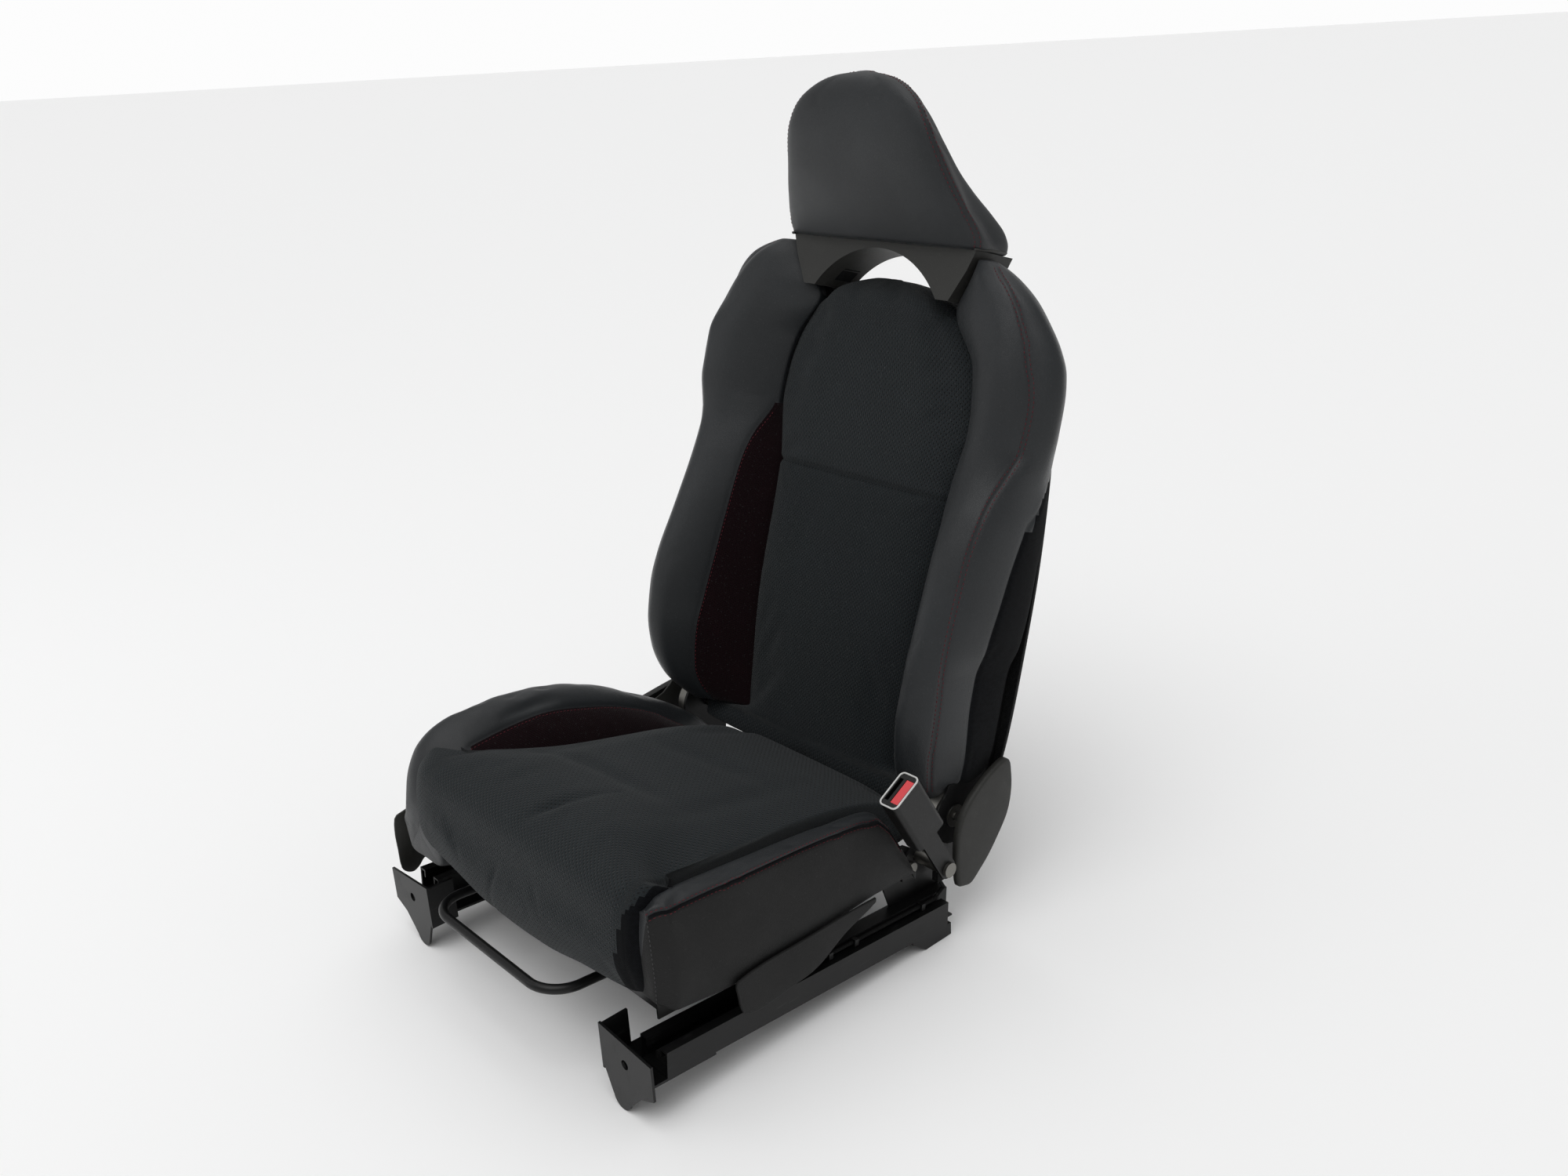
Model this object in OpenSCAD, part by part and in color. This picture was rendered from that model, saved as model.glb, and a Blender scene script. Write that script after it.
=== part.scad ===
// Reclining sport seat on two slide rails.
// Frame: +X is the sitter's left, +Y points rearward, +Z is up, the floor is z = 0.

/* [Overall] */
// Distance between the centre lines of the two slide rails
rail_span = 450; // [375:1:540]
// Backrest height from the recline axis to the top of the shoulders, along the back
back_h = 628; // [524:1:754]
// Cushion length from its nose to the recline axis
cushion_l = 463; // [450:1:556]
// Backrest lean from the vertical, degrees
back_lean = 16; // [10:0.5:22]

/* [Slide rails] */
// Length of the lower rail
rail_l = 420; // [415:1:500]
// Fall of the rails towards the rear, degrees
rail_pitch = 4.2; // [3:0.1:5.5]
// Width of the lower rail
rail_w = 44; // [40:0.5:52]
// Height of the lower rail channel
rail_h = 30; // [27:0.5:32]
// Rail sheet thickness
rail_t = 2.2; // [1.8:0.1:2.6]
// Length of the upper rail
upper_l = 300; // [270:1:310]
// Travel of the seat forwards
slide_fwd = 118; // [80:1:118]
// Travel of the seat rearwards
slide_back = 60; // [30:1:70]
// Thickness of the feet
foot_t = 3; // [2.5:0.1:3.6]
// Diameter of the floor bolt holes
floor_bolt_d = 11; // [9:0.5:13]

/* [Seat frame] */
// Thickness of the cushion side plates
plate_t = 2.5; // [2:0.1:3]
// Diameter of the rear cross tube
tube_d = 22; // [18:0.5:26]
// Wire diameter of the cushion springs
spring_d = 4; // [3.3:0.1:4.8]
// Number of cushion springs
spring_n = 4; // [3:1:5]

/* [Recliner] */
// Diameter of the recliner discs
disc_d = 72; // [60:1:80]
// Diameter of the recliner cross rod
rod_d = 10; // [8:0.5:12]
// Length of the recliner handle
handle_l = 118; // [98:1:140]

/* [Backrest] */
// Depth of the side bolsters in front of the recline axis
bolster_d = 95; // [80:1:100]
// Depth of the backrest behind the recline axis
back_d = 58; // [55:0.5:69]
// Diameter of the upper hoop tube
hoop_d = 20; // [16:0.5:22]

/* [Head restraint] */
// Diameter of the head restraint posts
post_d = 12; // [10:0.5:14]
// Distance between the posts
post_span = 204; // [180:1:210]
// Height of the head pad
head_h = 178; // [150:1:210]
// Travel of the head restraint upwards
head_travel = 50; // [30:1:50]

/* [Belt buckle] */
// Width of the buckle housing
buckle_w = 46; // [40:0.5:54]
// Thickness of the buckle housing
buckle_t = 26; // [23:0.5:30]
// Length of the buckle housing
buckle_l = 80; // [68:1:90]
// Length of the stalk from its pivot to the housing
stalk_l = 73; // [62:1:86]

/* [Slide lever] */
// Diameter of the lift bar
bar_d = 11; // [9:0.5:13]
// Width over the centre lines of the bar's legs
bar_w = 242; // [202:1:280]

/* [Hidden] */
$fn = 64;

// rails
half = rail_span / 2;
rail_rear = 110;
rail_rise = 13;
rail_in = rail_w / 2;
lip_t = 2.2;
column = 8;
upper_top = rail_h + 10;
upper_out = 12;
upper_floor = rail_t + 3.8;
run = 0.1;
front_y = rail_rear - rail_l * cos(rail_pitch);
foot_face = front_y - 28;
foot_out = half + 35;
foot_in = half - 51;
front_bolt_x = half - 10;
front_bolt_z = 62;
rear_bolt_x = half - 37;
rear_bolt_y = rail_rear - 15;
stop_v = upper_out - upper_l - slide_fwd - 0.5;

// seat frame
pivot_y = 135;
pivot_z = 150;
nose_y = pivot_y - cushion_l;
plate_in = half - column - plate_t;
pan_z = 118.5;
pan_t = 1.5;
pan_top = pan_z + pan_t;
pan_front = nose_y + 36;
pan_rear = nose_y + 178;
tube_y = 52;
tube_z = pan_top - spring_d - tube_d / 2;
spring_span = 0.36 * rail_span;
plate_top = 150;
riser_front = rail_rear + upper_out - upper_l + 8;
riser_end = riser_front + 70;

// recliner stack, outwards from the side plate
arm_in = half - column;
arm_t = 4;
disc_in = arm_in + arm_t;
disc_t = 14;
disc_out = disc_in + disc_t;
side_in = disc_out + 0.2;
side_t = 3;
hub_r = 14;
hub_fit = 0.05;
boss_y = pivot_y + 16;
boss_z = pivot_z - 62;
shield_in = half + 28;
shield_out = half + 37;
valance_in = half + 39;
valance_t = 4;
trim_x = half + 21;

// backrest, in its own leaning frame
frame_y = 12;
frame_rear = back_d - 4;
member_in = side_in - 9;
member_top = 0.80 * back_h;
hoop_z = 0.86 * back_h;
hoop_r = 40;
hoop_y = frame_rear - 3.5 - hoop_d / 2;
guide_r = post_d / 2 + 2.5;
guide_y = hoop_y - hoop_d / 2 - guide_r;
guide_top = 0.918 * back_h;
guide_low = guide_top - 84;
leg_z = 0.925 * back_h;
head_z = leg_z + 59;
arch_rise = 51;
arch_half = 0.444 * half;
arch_r = (arch_half * arch_half + arch_rise * arch_rise) / (2 * arch_rise);
post_x = post_span / 2;
post_top = head_z + 18;
post_low = guide_low - 40;
pocket_r = disc_d / 2 + 14;
pocket_in = arm_in - plate_t - 1;

// buckle
anchor_y = pivot_y - 44;
anchor_z = pivot_z - 40;
buckle_lean = 29.4;
buckle_x = half + 26 + buckle_t / 2;
strap_w = 24;
strap_t = 4;
anchor_r = 5;
button_drop = 5;
button_w = buckle_w - 14;
button_t = 11;

lead_d = 4.8;

// slide lever
lever_y = riser_end - 12;
lever_z = 87;
pin_r = 4;
lever_x = plate_in - 8;
lever_t = 4;
bar_front = nose_y - 30;
bar_z = 105;
bar_knee_y = nose_y + 114;
bar_knee_z = 92;
bar_bend = 38;
bar_fall = atan((bar_z - bar_knee_z) / (bar_knee_y - bar_front));
bar_leg = (bar_knee_y - bar_front) / cos(bar_fall);

module on_rail(side) {
  translate([side * half, rail_rear, rail_rise + foot_t])
    rotate([-rail_pitch, 0, 0])
      children();
}

module on_back() {
  translate([0, pivot_y, pivot_z])
    rotate([-back_lean, 0, 0])
      children();
}

module on_buckle() {
  translate([buckle_x, anchor_y, anchor_z])
    rotate([buckle_lean, 0, 0])
      children();
}

// a child drawn for the +X side, moved to the named side
module on_side(side) {
  if (side > 0) {
    children();
  } else {
    mirror([1, 0, 0])
      children();
  }
}

// a front outline drawn for +X from the bottom up, closed over its top point and down the other side
module both_sides(points, top) {
  n = len(points);
  polygon(concat(points, [[0, top]], [for (i = [n - 1 : -1 : 0]) [-points[i][0], points[i][1]]]));
}

// a plate cut from a side view: the 2D child's X is the seat's Y, its Y is the seat's Z
module side_plate(x, t) {
  translate([x, 0, 0])
    rotate([90, 0, 90])
      linear_extrude(t)
        children();
}

// a plate cut from a front view: the 2D child's X is the seat's X, its Y is the seat's Z
module front_plate(y, t) {
  translate([0, y + t, 0])
    rotate([90, 0, 0])
      linear_extrude(t)
        children();
}

module x_rod(x, y, z, r, l) {
  translate([x, y, z])
    rotate([0, 90, 0])
      cylinder(h = l, r = r);
}

// round wire between two points
module wire(a, b, r) {
  d = b - a;
  l = norm(d);
  translate(a)
    rotate([0, acos(d[2] / l), atan2(d[1], d[0])])
      cylinder(h = l, r = r, $fn = 24);
}

// ---- floor rails ----

module rail_channel_2d() {
  difference() {
    translate([-rail_in, 0])
      square([rail_w, rail_h]);
    translate([-rail_in + rail_t, rail_t])
      square([rail_w - 2 * rail_t, rail_h - rail_t - lip_t]);
    translate([-column - 2.2, rail_t])
      square([2 * column + 4.4, rail_h]);
  }
  for (s = [-1, 1])
    translate([s * (column + 2.2 + lip_t / 2) - lip_t / 2, rail_h - 10])
      square([lip_t, 9]);
}

module lower_rail(side) {
  color([0.10, 0.10, 0.11])
    on_rail(side)
      difference() {
        rotate([90, 0, 0])
          linear_extrude(rail_l)
            rail_channel_2d();
        for (v = [-rail_l + 22, -rail_l + 48, -18, -42])
          translate([0, v, -1])
            cylinder(h = rail_t + 2, r = 3.5);
      }
}

module front_foot(side) {
  color([0.12, 0.12, 0.13])
    on_side(side)
      difference() {
        union() {
          front_plate(foot_face, foot_t) {
            translate([foot_in + 29, 14])
              circle(14);
            polygon([[foot_in, 92], [foot_in, 48], [foot_in + 15.5, 10], [foot_in + 42, 9],
              [foot_in + 64, 32], [foot_out, 42], [foot_out, 84]]);
          }
          translate([foot_in, foot_face, 36])
            cube([foot_t, 35, 54]);
          on_rail(1)
            translate([foot_in - half, -rail_l - 27, -foot_t])
              cube([rail_in + half - foot_in, 90, foot_t]);
        }
        translate([front_bolt_x, foot_face - 1, front_bolt_z])
          rotate([-90, 0, 0])
            cylinder(h = foot_t + 2, d = floor_bolt_d);
        on_rail(1)
          for (v = [-rail_l + 22, -rail_l + 48])
            translate([0, v, -foot_t - 1])
              cylinder(h = foot_t + 2, r = 3.5);
      }
}

module rear_foot(side) {
  color([0.12, 0.12, 0.13])
    on_side(side)
      difference() {
        union() {
          translate([rear_bolt_x - 16, rail_rear - 38, 0])
            cube([half - rail_in + 6 - rear_bolt_x + 16, 42, foot_t]);
          side_plate(half - rail_in, rail_w)
            polygon([[rail_rear - 60, rail_line(rail_rear - 60, 0)], [rail_rear, rail_line(rail_rear, 0)],
              [rail_rear + 6, rail_line(rail_rear, 0)], [rail_rear + 6, 0], [rail_rear - 38, 0],
              [rail_rear - 60, rail_line(rail_rear - 60, 0) - foot_t]]);
        }
        translate([half - rail_in + foot_t, rail_rear - 34, foot_t])
          cube([rail_w - 2 * foot_t, 50, rail_rise - foot_t - 0.5]);
        translate([rear_bolt_x, rear_bolt_y, -1])
          cylinder(h = foot_t + 2, d = floor_bolt_d);
        on_rail(1)
          for (v = [-18, -42])
            translate([0, v, -foot_t + 1])
              cylinder(h = 2 * foot_t, r = 3.5);
      }
}

module rail_rollers() {
  color([0.55, 0.56, 0.58])
    for (side = [-1, 1])
      on_rail(side)
        for (k = [0 : 3])
          x_rod(-14, -rail_l + 90 + k * (rail_l - 150) / 3, (rail_t + upper_floor - run) / 2,
            (upper_floor - run - rail_t) / 2, 28);
}

module rail_stops() {
  color([0.08, 0.08, 0.08])
    for (side = [-1, 1])
      on_rail(side)
        translate([-column, stop_v - 5, rail_t])
          cube([2 * column, 5, 11]);
}

module foot_rivets() {
  color([0.45, 0.46, 0.48])
    for (side = [-1, 1])
      on_rail(side) {
        for (v = [-rail_l + 22, -rail_l + 48]) {
          translate([0, v, -foot_t])
            cylinder(h = foot_t + rail_t, r = 3.5);
          translate([0, v, rail_t])
            cylinder(h = 1.8, r = 6);
          translate([0, v, -foot_t - 1.8])
            cylinder(h = 1.8, r = 6);
        }
        for (v = [-18, -42]) {
          translate([0, v, -foot_t + 1])
            cylinder(h = foot_t + rail_t - 1, r = 3.5);
          translate([0, v, rail_t])
            cylinder(h = 1.8, r = 6);
        }
      }
}

// ---- sliding seat base ----

module upper_rail(side) {
  color([0.16, 0.16, 0.17])
    on_rail(side)
      translate([0, upper_out, 0])
        rotate([90, 0, 0])
          linear_extrude(upper_l)
            difference() {
              union() {
                translate([-column, upper_floor])
                  square([2 * column, upper_top - upper_floor]);
                translate([-column - 10, upper_floor])
                  square([2 * column + 20, rail_t]);
              }
              translate([-column + rail_t, upper_floor - 1])
                square([2 * (column - rail_t), upper_top - upper_floor + 1 - rail_t]);
            }
}

// height of the rail's own line w at a place y, in the seat's frame
function rail_line(y, w) = rail_rise + foot_t + w / cos(rail_pitch) + (rail_rear - y) * tan(rail_pitch);

module side_frame_2d() {
  difference() {
    polygon([[pan_front, 93], [riser_front, 86], [riser_front, rail_line(riser_front, upper_top - 9)],
      [riser_end, rail_line(riser_end, upper_top - 9)], [riser_end + 10, 88], [34, 88],
      [46, rail_line(46, upper_top - 9)], [118, rail_line(118, upper_top - 9)],
      [150, 78], [158, 96], [pivot_y, 108], [96, 112], [70, 130], [0, 140],
      [pan_rear, plate_top], [pan_front, plate_top]]);
    for (k = [0 : 2])
      translate([pan_rear + 42 + k * 52, 122])
        circle(11);
  }
}

module side_frame(side) {
  color([0.11, 0.11, 0.12])
    on_side(side)
      difference() {
        side_plate(plate_in, plate_t)
          side_frame_2d();
        for (y = [76, 112])
          x_rod(plate_in - 1, y, y > 100 ? 90 : 100, 4.1, plate_t + 2);
        x_rod(plate_in - 1, lever_y, lever_z, pin_r, plate_t + 2);
      }
}

// room above the lift bar's legs
module bar_notches(y, l, top) {
  for (s = [-1, 1])
    translate([s * bar_w / 2 - bar_d, y, 80])
      cube([2 * bar_d, l, top - 80]);
}

module front_pan() {
  color([0.13, 0.13, 0.14])
    difference() {
      union() {
        translate([-plate_in, pan_front, pan_z])
          cube([2 * plate_in, pan_rear - pan_front, pan_t]);
        translate([-plate_in, pan_front, pan_z - 14])
          cube([2 * plate_in, pan_t, 14]);
        translate([-plate_in, pan_rear - pan_t, pan_z - 10])
          cube([2 * plate_in, pan_t, 10]);
      }
      for (k = [-1, 0, 1])
        translate([k * 0.62 * half, (pan_front + pan_rear) / 2, pan_z - 1])
          cylinder(h = pan_t + 2, r = 24);
      bar_notches(pan_front - 1, 4, pan_z);
    }
}

module rear_tube() {
  color([0.13, 0.13, 0.14])
    difference() {
      x_rod(-plate_in, tube_y, tube_z, tube_d / 2, 2 * plate_in);
      x_rod(-plate_in - 1, tube_y, tube_z, tube_d / 2 - 2, 2 * plate_in + 2);
    }
}

module seat_spring(x) {
  r = spring_d / 2;
  z = pan_top - r;
  n = 6;
  y0 = pan_rear + r;
  step = (tube_y - y0) / n;
  w = 16;
  for (k = [0 : n]) {
    wire([x - w, y0 + k * step, z], [x + w, y0 + k * step, z], r);
    for (s = [-1, 1])
      translate([x + s * w, y0 + k * step, z])
        sphere(r, $fn = 24);
  }
  for (k = [0 : n - 1]) {
    s = k % 2 == 0 ? 1 : -1;
    wire([x + s * w, y0 + k * step, z], [x + s * w, y0 + (k + 1) * step, z], r);
  }
}

module seat_springs() {
  color([0.30, 0.30, 0.32])
    for (k = [0 : spring_n - 1])
      seat_spring(-spring_span + 2 * spring_span * k / (spring_n - 1));
}

// a place along the cushion, as a share of its length ahead of the recline axis
function cy(f) = pivot_y - f * cushion_l;

module cushion_pad() {
  color([0.07, 0.10, 0.11])
    difference() {
      union() {
        side_plate(-0.722 * half, 1.444 * half)
          polygon([[118, pan_top], [pan_front - 0.2, pan_top], [pan_front - 0.2, 110],
            [nose_y + 14, 111], [nose_y, 150], [nose_y, 185], [nose_y + 8, 236],
            [nose_y + 28, 251], [cy(0.847), 257], [cy(0.624), 233], [cy(0.326), 208],
            [cy(0.112), 167], [107, 152]]);
        side_plate(-0.985 * half, 1.97 * half)
          polygon([[cy(0.871), 156], [pan_front - 0.2, 156], [pan_front - 0.2, 118],
            [nose_y + 18, 122], [nose_y + 6, 150], [nose_y + 6, 185], [nose_y + 14, 228],
            [nose_y + 34, 240], [cy(0.871), 240]]);
      }
      x_rod(-half, pivot_y, pivot_z, 22, 2 * half);
      bar_notches(nose_y - 1, pan_front - nose_y + 2, bar_z + 20);
    }
}

// the bolster's crest height over the cushion, outer side higher than the inner one
module bolster_side_2d(rise) {
  polygon([[cy(0.870), 106], [118, 106], [100, 142], [cy(0.13), 161], [cy(0.203), 184],
    [cy(0.28), 202 + 0.28 * rise], [cy(0.358), 212 + 0.45 * rise], [cy(0.51), 222 + 0.85 * rise],
    [cy(0.704), 230 + rise], [cy(0.80), 234 + 0.75 * rise], [cy(0.870), 236 + 0.1 * rise]]);
}

module bolster_section_2d() {
  difference() {
    polygon([[0.726 * half, 106], [0.726 * half, 200], [0.80 * half, 232], [half - 18, 280],
      [half + 8, 280], [trim_x, 240], [trim_x, 106]]);
    square([plate_in, pan_top]);
    translate([plate_in - 1, 0])
      square([plate_t + 2, plate_top + 1]);
  }
}

module cushion_bolster(side) {
  color([0.09, 0.09, 0.10])
    on_side(side)
      difference() {
        intersection() {
          side_plate(0, half + 60)
            bolster_side_2d(side > 0 ? 4 : 38);
          front_plate(nose_y - 10, cushion_l + 60)
            bolster_section_2d();
        }
        translate([pocket_in, 54, 90])
          cube([60, 100, 120]);
        x_rod(-10, pivot_y, pivot_z, 22, half + 40);
      }
}

module trim_flap() {
  color([0.09, 0.09, 0.10])
    union() {
      side_plate(trim_x + 1.5, 2.5)
        polygon([[riser_front - 42, 112], [riser_front - 40, 72], [riser_front - 13, 62], [-103, 69],
          [-60, 92], [-8, 108], [-8, 112]]);
      side_plate(trim_x, 4)
        polygon([[riser_front - 42, 106.5], [-8, 106.5], [-8, 112], [riser_front - 42, 112]]);
    }
}

module side_valance() {
  color([0.10, 0.10, 0.11])
    on_side(-1)
      difference() {
        union() {
          side_plate(valance_in, valance_t)
            polygon([[nose_y + 11, 147], [nose_y + 5, 129], [nose_y + 6, 72], [nose_y + 21, 63],
              [nose_y + 37, 75], [nose_y + 90, 88], [30, 82], [90, 66], [150, 62], [186, 84],
              [206, 124], [204, 160], [172, 192], [132, 190], [97, 162], [40, 152], [-120, 154]]);
          for (y = [riser_front + 32, 94])
            x_rod(arm_in, y, y > 0 ? 74 : 96, 6, valance_in + 1 - arm_in);
        }
        x_rod(valance_in - 1, pivot_y, pivot_z, rod_d / 2 + 4, valance_t + 2);
      }
}

module shield_2d() {
  polygon([[116, 72], [137, 66], [169, 90], [202, 130], [212, 168], [208, 203], [190, 206],
    [159, 192], [125, 164], [113, 123]]);
}

module recliner_shield() {
  color([0.12, 0.12, 0.13])
    union() {
      difference() {
        side_plate(shield_in, shield_out - shield_in)
          shield_2d();
        side_plate(shield_in - 1, shield_out - shield_in - 2)
          translate([160, 135])
            scale(0.93)
              translate([-160, -135])
                shield_2d();
      }
      x_rod(disc_in, boss_y, boss_z, 6, shield_out - 1 - disc_in);
    }
}

module recliner_arm(side) {
  color([0.14, 0.14, 0.15])
    on_side(side)
      difference() {
        union() {
          x_rod(arm_in, pivot_y, pivot_z, disc_d / 2 + 2, arm_t);
          side_plate(arm_in, arm_t)
            polygon([[62, 86], [62, 112], [88, 128], [pivot_y - 20, pivot_z + 4],
              [pivot_y + 20, pivot_z + 2], [boss_y + 16, boss_z + 20], [boss_y + 12, boss_z - 4],
              [boss_y, boss_z - 11]]);
        }
        x_rod(arm_in - 1, pivot_y, pivot_z, rod_d / 2 + hub_fit, arm_t + 2);
        for (y = [76, 112])
          x_rod(arm_in - 1, y, y > 100 ? 90 : 100, 4.1, arm_t + 2);
      }
}

module recliner_disc(side) {
  color([0.35, 0.36, 0.38])
    on_side(side)
      difference() {
        union() {
          x_rod(disc_in, pivot_y, pivot_z, disc_d / 2, disc_t);
          x_rod(disc_out, pivot_y, pivot_z, hub_r, side_t + 1.2);
        }
        x_rod(disc_in - 1, pivot_y, pivot_z, rod_d / 2 + 0.4, disc_t + side_t + 4);
      }
}

module frame_bolts() {
  color([0.50, 0.51, 0.53])
    for (side = [-1, 1])
      on_side(side)
        for (y = [76, 112]) {
          z = y > 100 ? 90 : 100;
          x_rod(plate_in - 3, y, z, 4, plate_t + arm_t + 6);
          x_rod(plate_in - 4, y, z, 7, 4);
          x_rod(disc_in, y, z, 7, 4.5);
        }
}

module buckle_anchor() {
  color([0.50, 0.51, 0.53]) {
    x_rod(disc_in, anchor_y, anchor_z, 9, buckle_x - strap_t / 2 - 0.3 - disc_in);
    x_rod(buckle_x - strap_t / 2 - 0.3, anchor_y, anchor_z, anchor_r, strap_t + 0.6);
    x_rod(buckle_x + strap_t / 2 + 0.3, anchor_y, anchor_z, 9, 4);
  }
}

module seat_lead() {
  r = lead_d / 2;
  u = column + r + 0.8;
  w = rail_h + 5.4;
  color([0.03, 0.03, 0.03])
    on_rail(1) {
      wire([u, -upper_l + 70, w], [u, -14, w], r);
      translate([u, -14, w])
        sphere(r + 0.3);
      wire([u, -14, w], [u, 2, w + 10], r);
      translate([u, 2, w + 10])
        sphere(r + 0.3);
      wire([u, 2, w + 10], [u, -8, w + 26], r);
      translate([u - 4, -14, w + 24])
        cube([9, 14, 18]);
    }
}

module lead_clips() {
  color([0.05, 0.05, 0.05])
    on_rail(1)
      difference() {
        for (v = [-upper_l + 110, -upper_l / 2, -40])
          translate([column, v, rail_h + 1.5])
            cube([8, 6, 8]);
        wire([column + lead_d / 2 + 0.8, -upper_l, rail_h + 5.4],
          [column + lead_d / 2 + 0.8, 0, rail_h + 5.4], lead_d / 2);
      }
}

module latch_pins() {
  color([0.50, 0.51, 0.53])
    for (side = [-1, 1])
      on_side(side) {
        x_rod(lever_x - 3, lever_y, lever_z, pin_r, plate_in + plate_t - lever_x + 3);
        x_rod(lever_x - 3, lever_y, lever_z, pin_r + 2.5, 2.5);
      }
}

// ---- slide lever ----

module lift_bar() {
  r = bar_d / 2;
  tip = [lever_x + lever_t / 2, lever_y - 34, lever_z - 8];
  color([0.06, 0.06, 0.06]) {
    translate([0, bar_front, bar_z])
      rotate([-bar_fall, 0, 0]) {
        x_rod(-bar_w / 2 + bar_bend, 0, 0, r, bar_w - 2 * bar_bend);
        for (side = [-1, 1])
          on_side(side) {
            translate([bar_w / 2 - bar_bend, bar_bend, 0])
              rotate([0, 0, -90])
                rotate_extrude(angle = 90)
                  translate([bar_bend, 0])
                    circle(r);
            translate([bar_w / 2, bar_bend, 0])
              rotate([-90, 0, 0])
                cylinder(h = bar_leg - bar_bend, r = r);
          }
      }
    for (side = [-1, 1])
      on_side(side) {
        translate([bar_w / 2, bar_knee_y, bar_knee_z])
          sphere(r + 0.4);
        wire([bar_w / 2, bar_knee_y, bar_knee_z], tip, r);
      }
  }
}

module latch_lever(side) {
  tip_y = lever_y - 34;
  tip_z = lever_z - 8;
  color([0.14, 0.14, 0.15])
    on_side(side)
      difference() {
        side_plate(lever_x, lever_t) {
          translate([lever_y, lever_z])
            circle(11);
          translate([tip_y, tip_z])
            circle(9);
          polygon([[lever_y, lever_z + 11], [tip_y, tip_z + 9], [tip_y, tip_z - 9],
            [lever_y, lever_z - 11], [lever_y + 40, lever_z - 8], [lever_y + 44, lever_z - 18],
            [lever_y + 52, lever_z - 18], [lever_y + 52, lever_z + 4]]);
        }
        x_rod(lever_x - 1, lever_y, lever_z, pin_r + 0.05, lever_t + 2);
        wire([bar_w / 2, bar_knee_y, bar_knee_z], [lever_x + lever_t / 2, tip_y, tip_z], bar_d / 2);
      }
}

// ---- recliner release ----

module recliner_rod() {
  color([0.45, 0.46, 0.48])
    x_rod(-valance_in - 18, pivot_y, pivot_z, rod_d / 2, valance_in + 18 + disc_out + 6);
}

module recliner_handle() {
  r = rod_d / 2;
  x0 = valance_in + valance_t + 1;
  color([0.08, 0.08, 0.09])
    on_side(-1)
      difference() {
        union() {
          x_rod(x0, pivot_y, pivot_z, 19, 14);
          side_plate(x0 + 1, 12)
            polygon([[pivot_y + 4, pivot_z + 18], [pivot_y - handle_l + 8, pivot_z + 4],
              [pivot_y - handle_l, pivot_z - 6], [pivot_y - handle_l + 3, pivot_z - 17],
              [pivot_y - handle_l + 14, pivot_z - 20], [pivot_y - 8, pivot_z - 16]]);
        }
        x_rod(x0 - 1, pivot_y, pivot_z, r, valance_in + 18 - x0 + 1);
      }
}

// ---- backrest, drawn in its leaning frame ----

module back_side(side) {
  color([0.12, 0.12, 0.13])
    on_back()
      on_side(side)
        difference() {
          union() {
            side_plate(side_in, side_t) {
              circle(disc_d / 2 - 2);
              polygon([[-0.36 * disc_d, 0.28 * disc_d], [-0.3 * disc_d, 0.55 * disc_d],
                [frame_y, pocket_r - 3], [frame_y, member_top], [frame_rear, member_top],
                [frame_rear, 52], [28, -18]]);
            }
            translate([member_in, frame_y, 86])
              cube([side_in + side_t - member_in, 3, member_top - 86]);
            translate([member_in, frame_rear - 3, 52])
              cube([side_in + side_t - member_in, 3, member_top - 52]);
          }
          x_rod(side_in - 1, 0, 0, hub_r + hub_fit, side_t + 2);
        }
}

module back_hoop() {
  r = hoop_d / 2;
  x = side_in - r;
  color([0.12, 0.12, 0.13])
    on_back() {
      x_rod(-x + hoop_r, hoop_y, hoop_z, r, 2 * (x - hoop_r));
      for (side = [-1, 1])
        on_side(side) {
          translate([x - hoop_r, hoop_y, hoop_z - hoop_r])
            rotate([90, 0, 0])
              rotate_extrude(angle = 90)
                translate([hoop_r, 0])
                  circle(r);
          translate([x, hoop_y, member_top - 70])
            cylinder(h = hoop_z - hoop_r - member_top + 70, r = r);
        }
    }
}

module back_cross() {
  color([0.13, 0.13, 0.14])
    on_back()
      difference() {
        translate([-side_in, frame_rear - 6, 56])
          cube([2 * side_in, 3, 52]);
        for (k = [-2 : 2])
          translate([k * 0.36 * half, frame_rear, 82])
            rotate([90, 0, 0])
              cylinder(h = 8, r = 13);
      }
}

module back_springs() {
  r = 2;
  z0 = 0.2 * back_h;
  n = 5;
  step = 0.55 * back_h / (n - 1);
  color([0.30, 0.30, 0.32])
    on_back() {
      for (k = [0 : n - 1])
        wire([-member_in, frame_y + r, z0 + k * step], [member_in, frame_y + r, z0 + k * step], r);
      for (s = [-1, 1])
        wire([s * 0.4 * half, frame_y + 3 * r, z0 - 14],
          [s * 0.4 * half, frame_y + 3 * r, z0 + (n - 1) * step + 14], r);
    }
}

module panel_front_2d() {
  both_sides([[0.609 * half, 14], [0.671 * half, 0.316 * back_h], [0.655 * half, 0.562 * back_h],
    [0.72 * half, 0.692 * back_h], [0.665 * half, 0.81 * back_h], [0.484 * half, 0.911 * back_h],
    [0.25 * half, 0.944 * back_h]], 0.952 * back_h);
}

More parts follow.
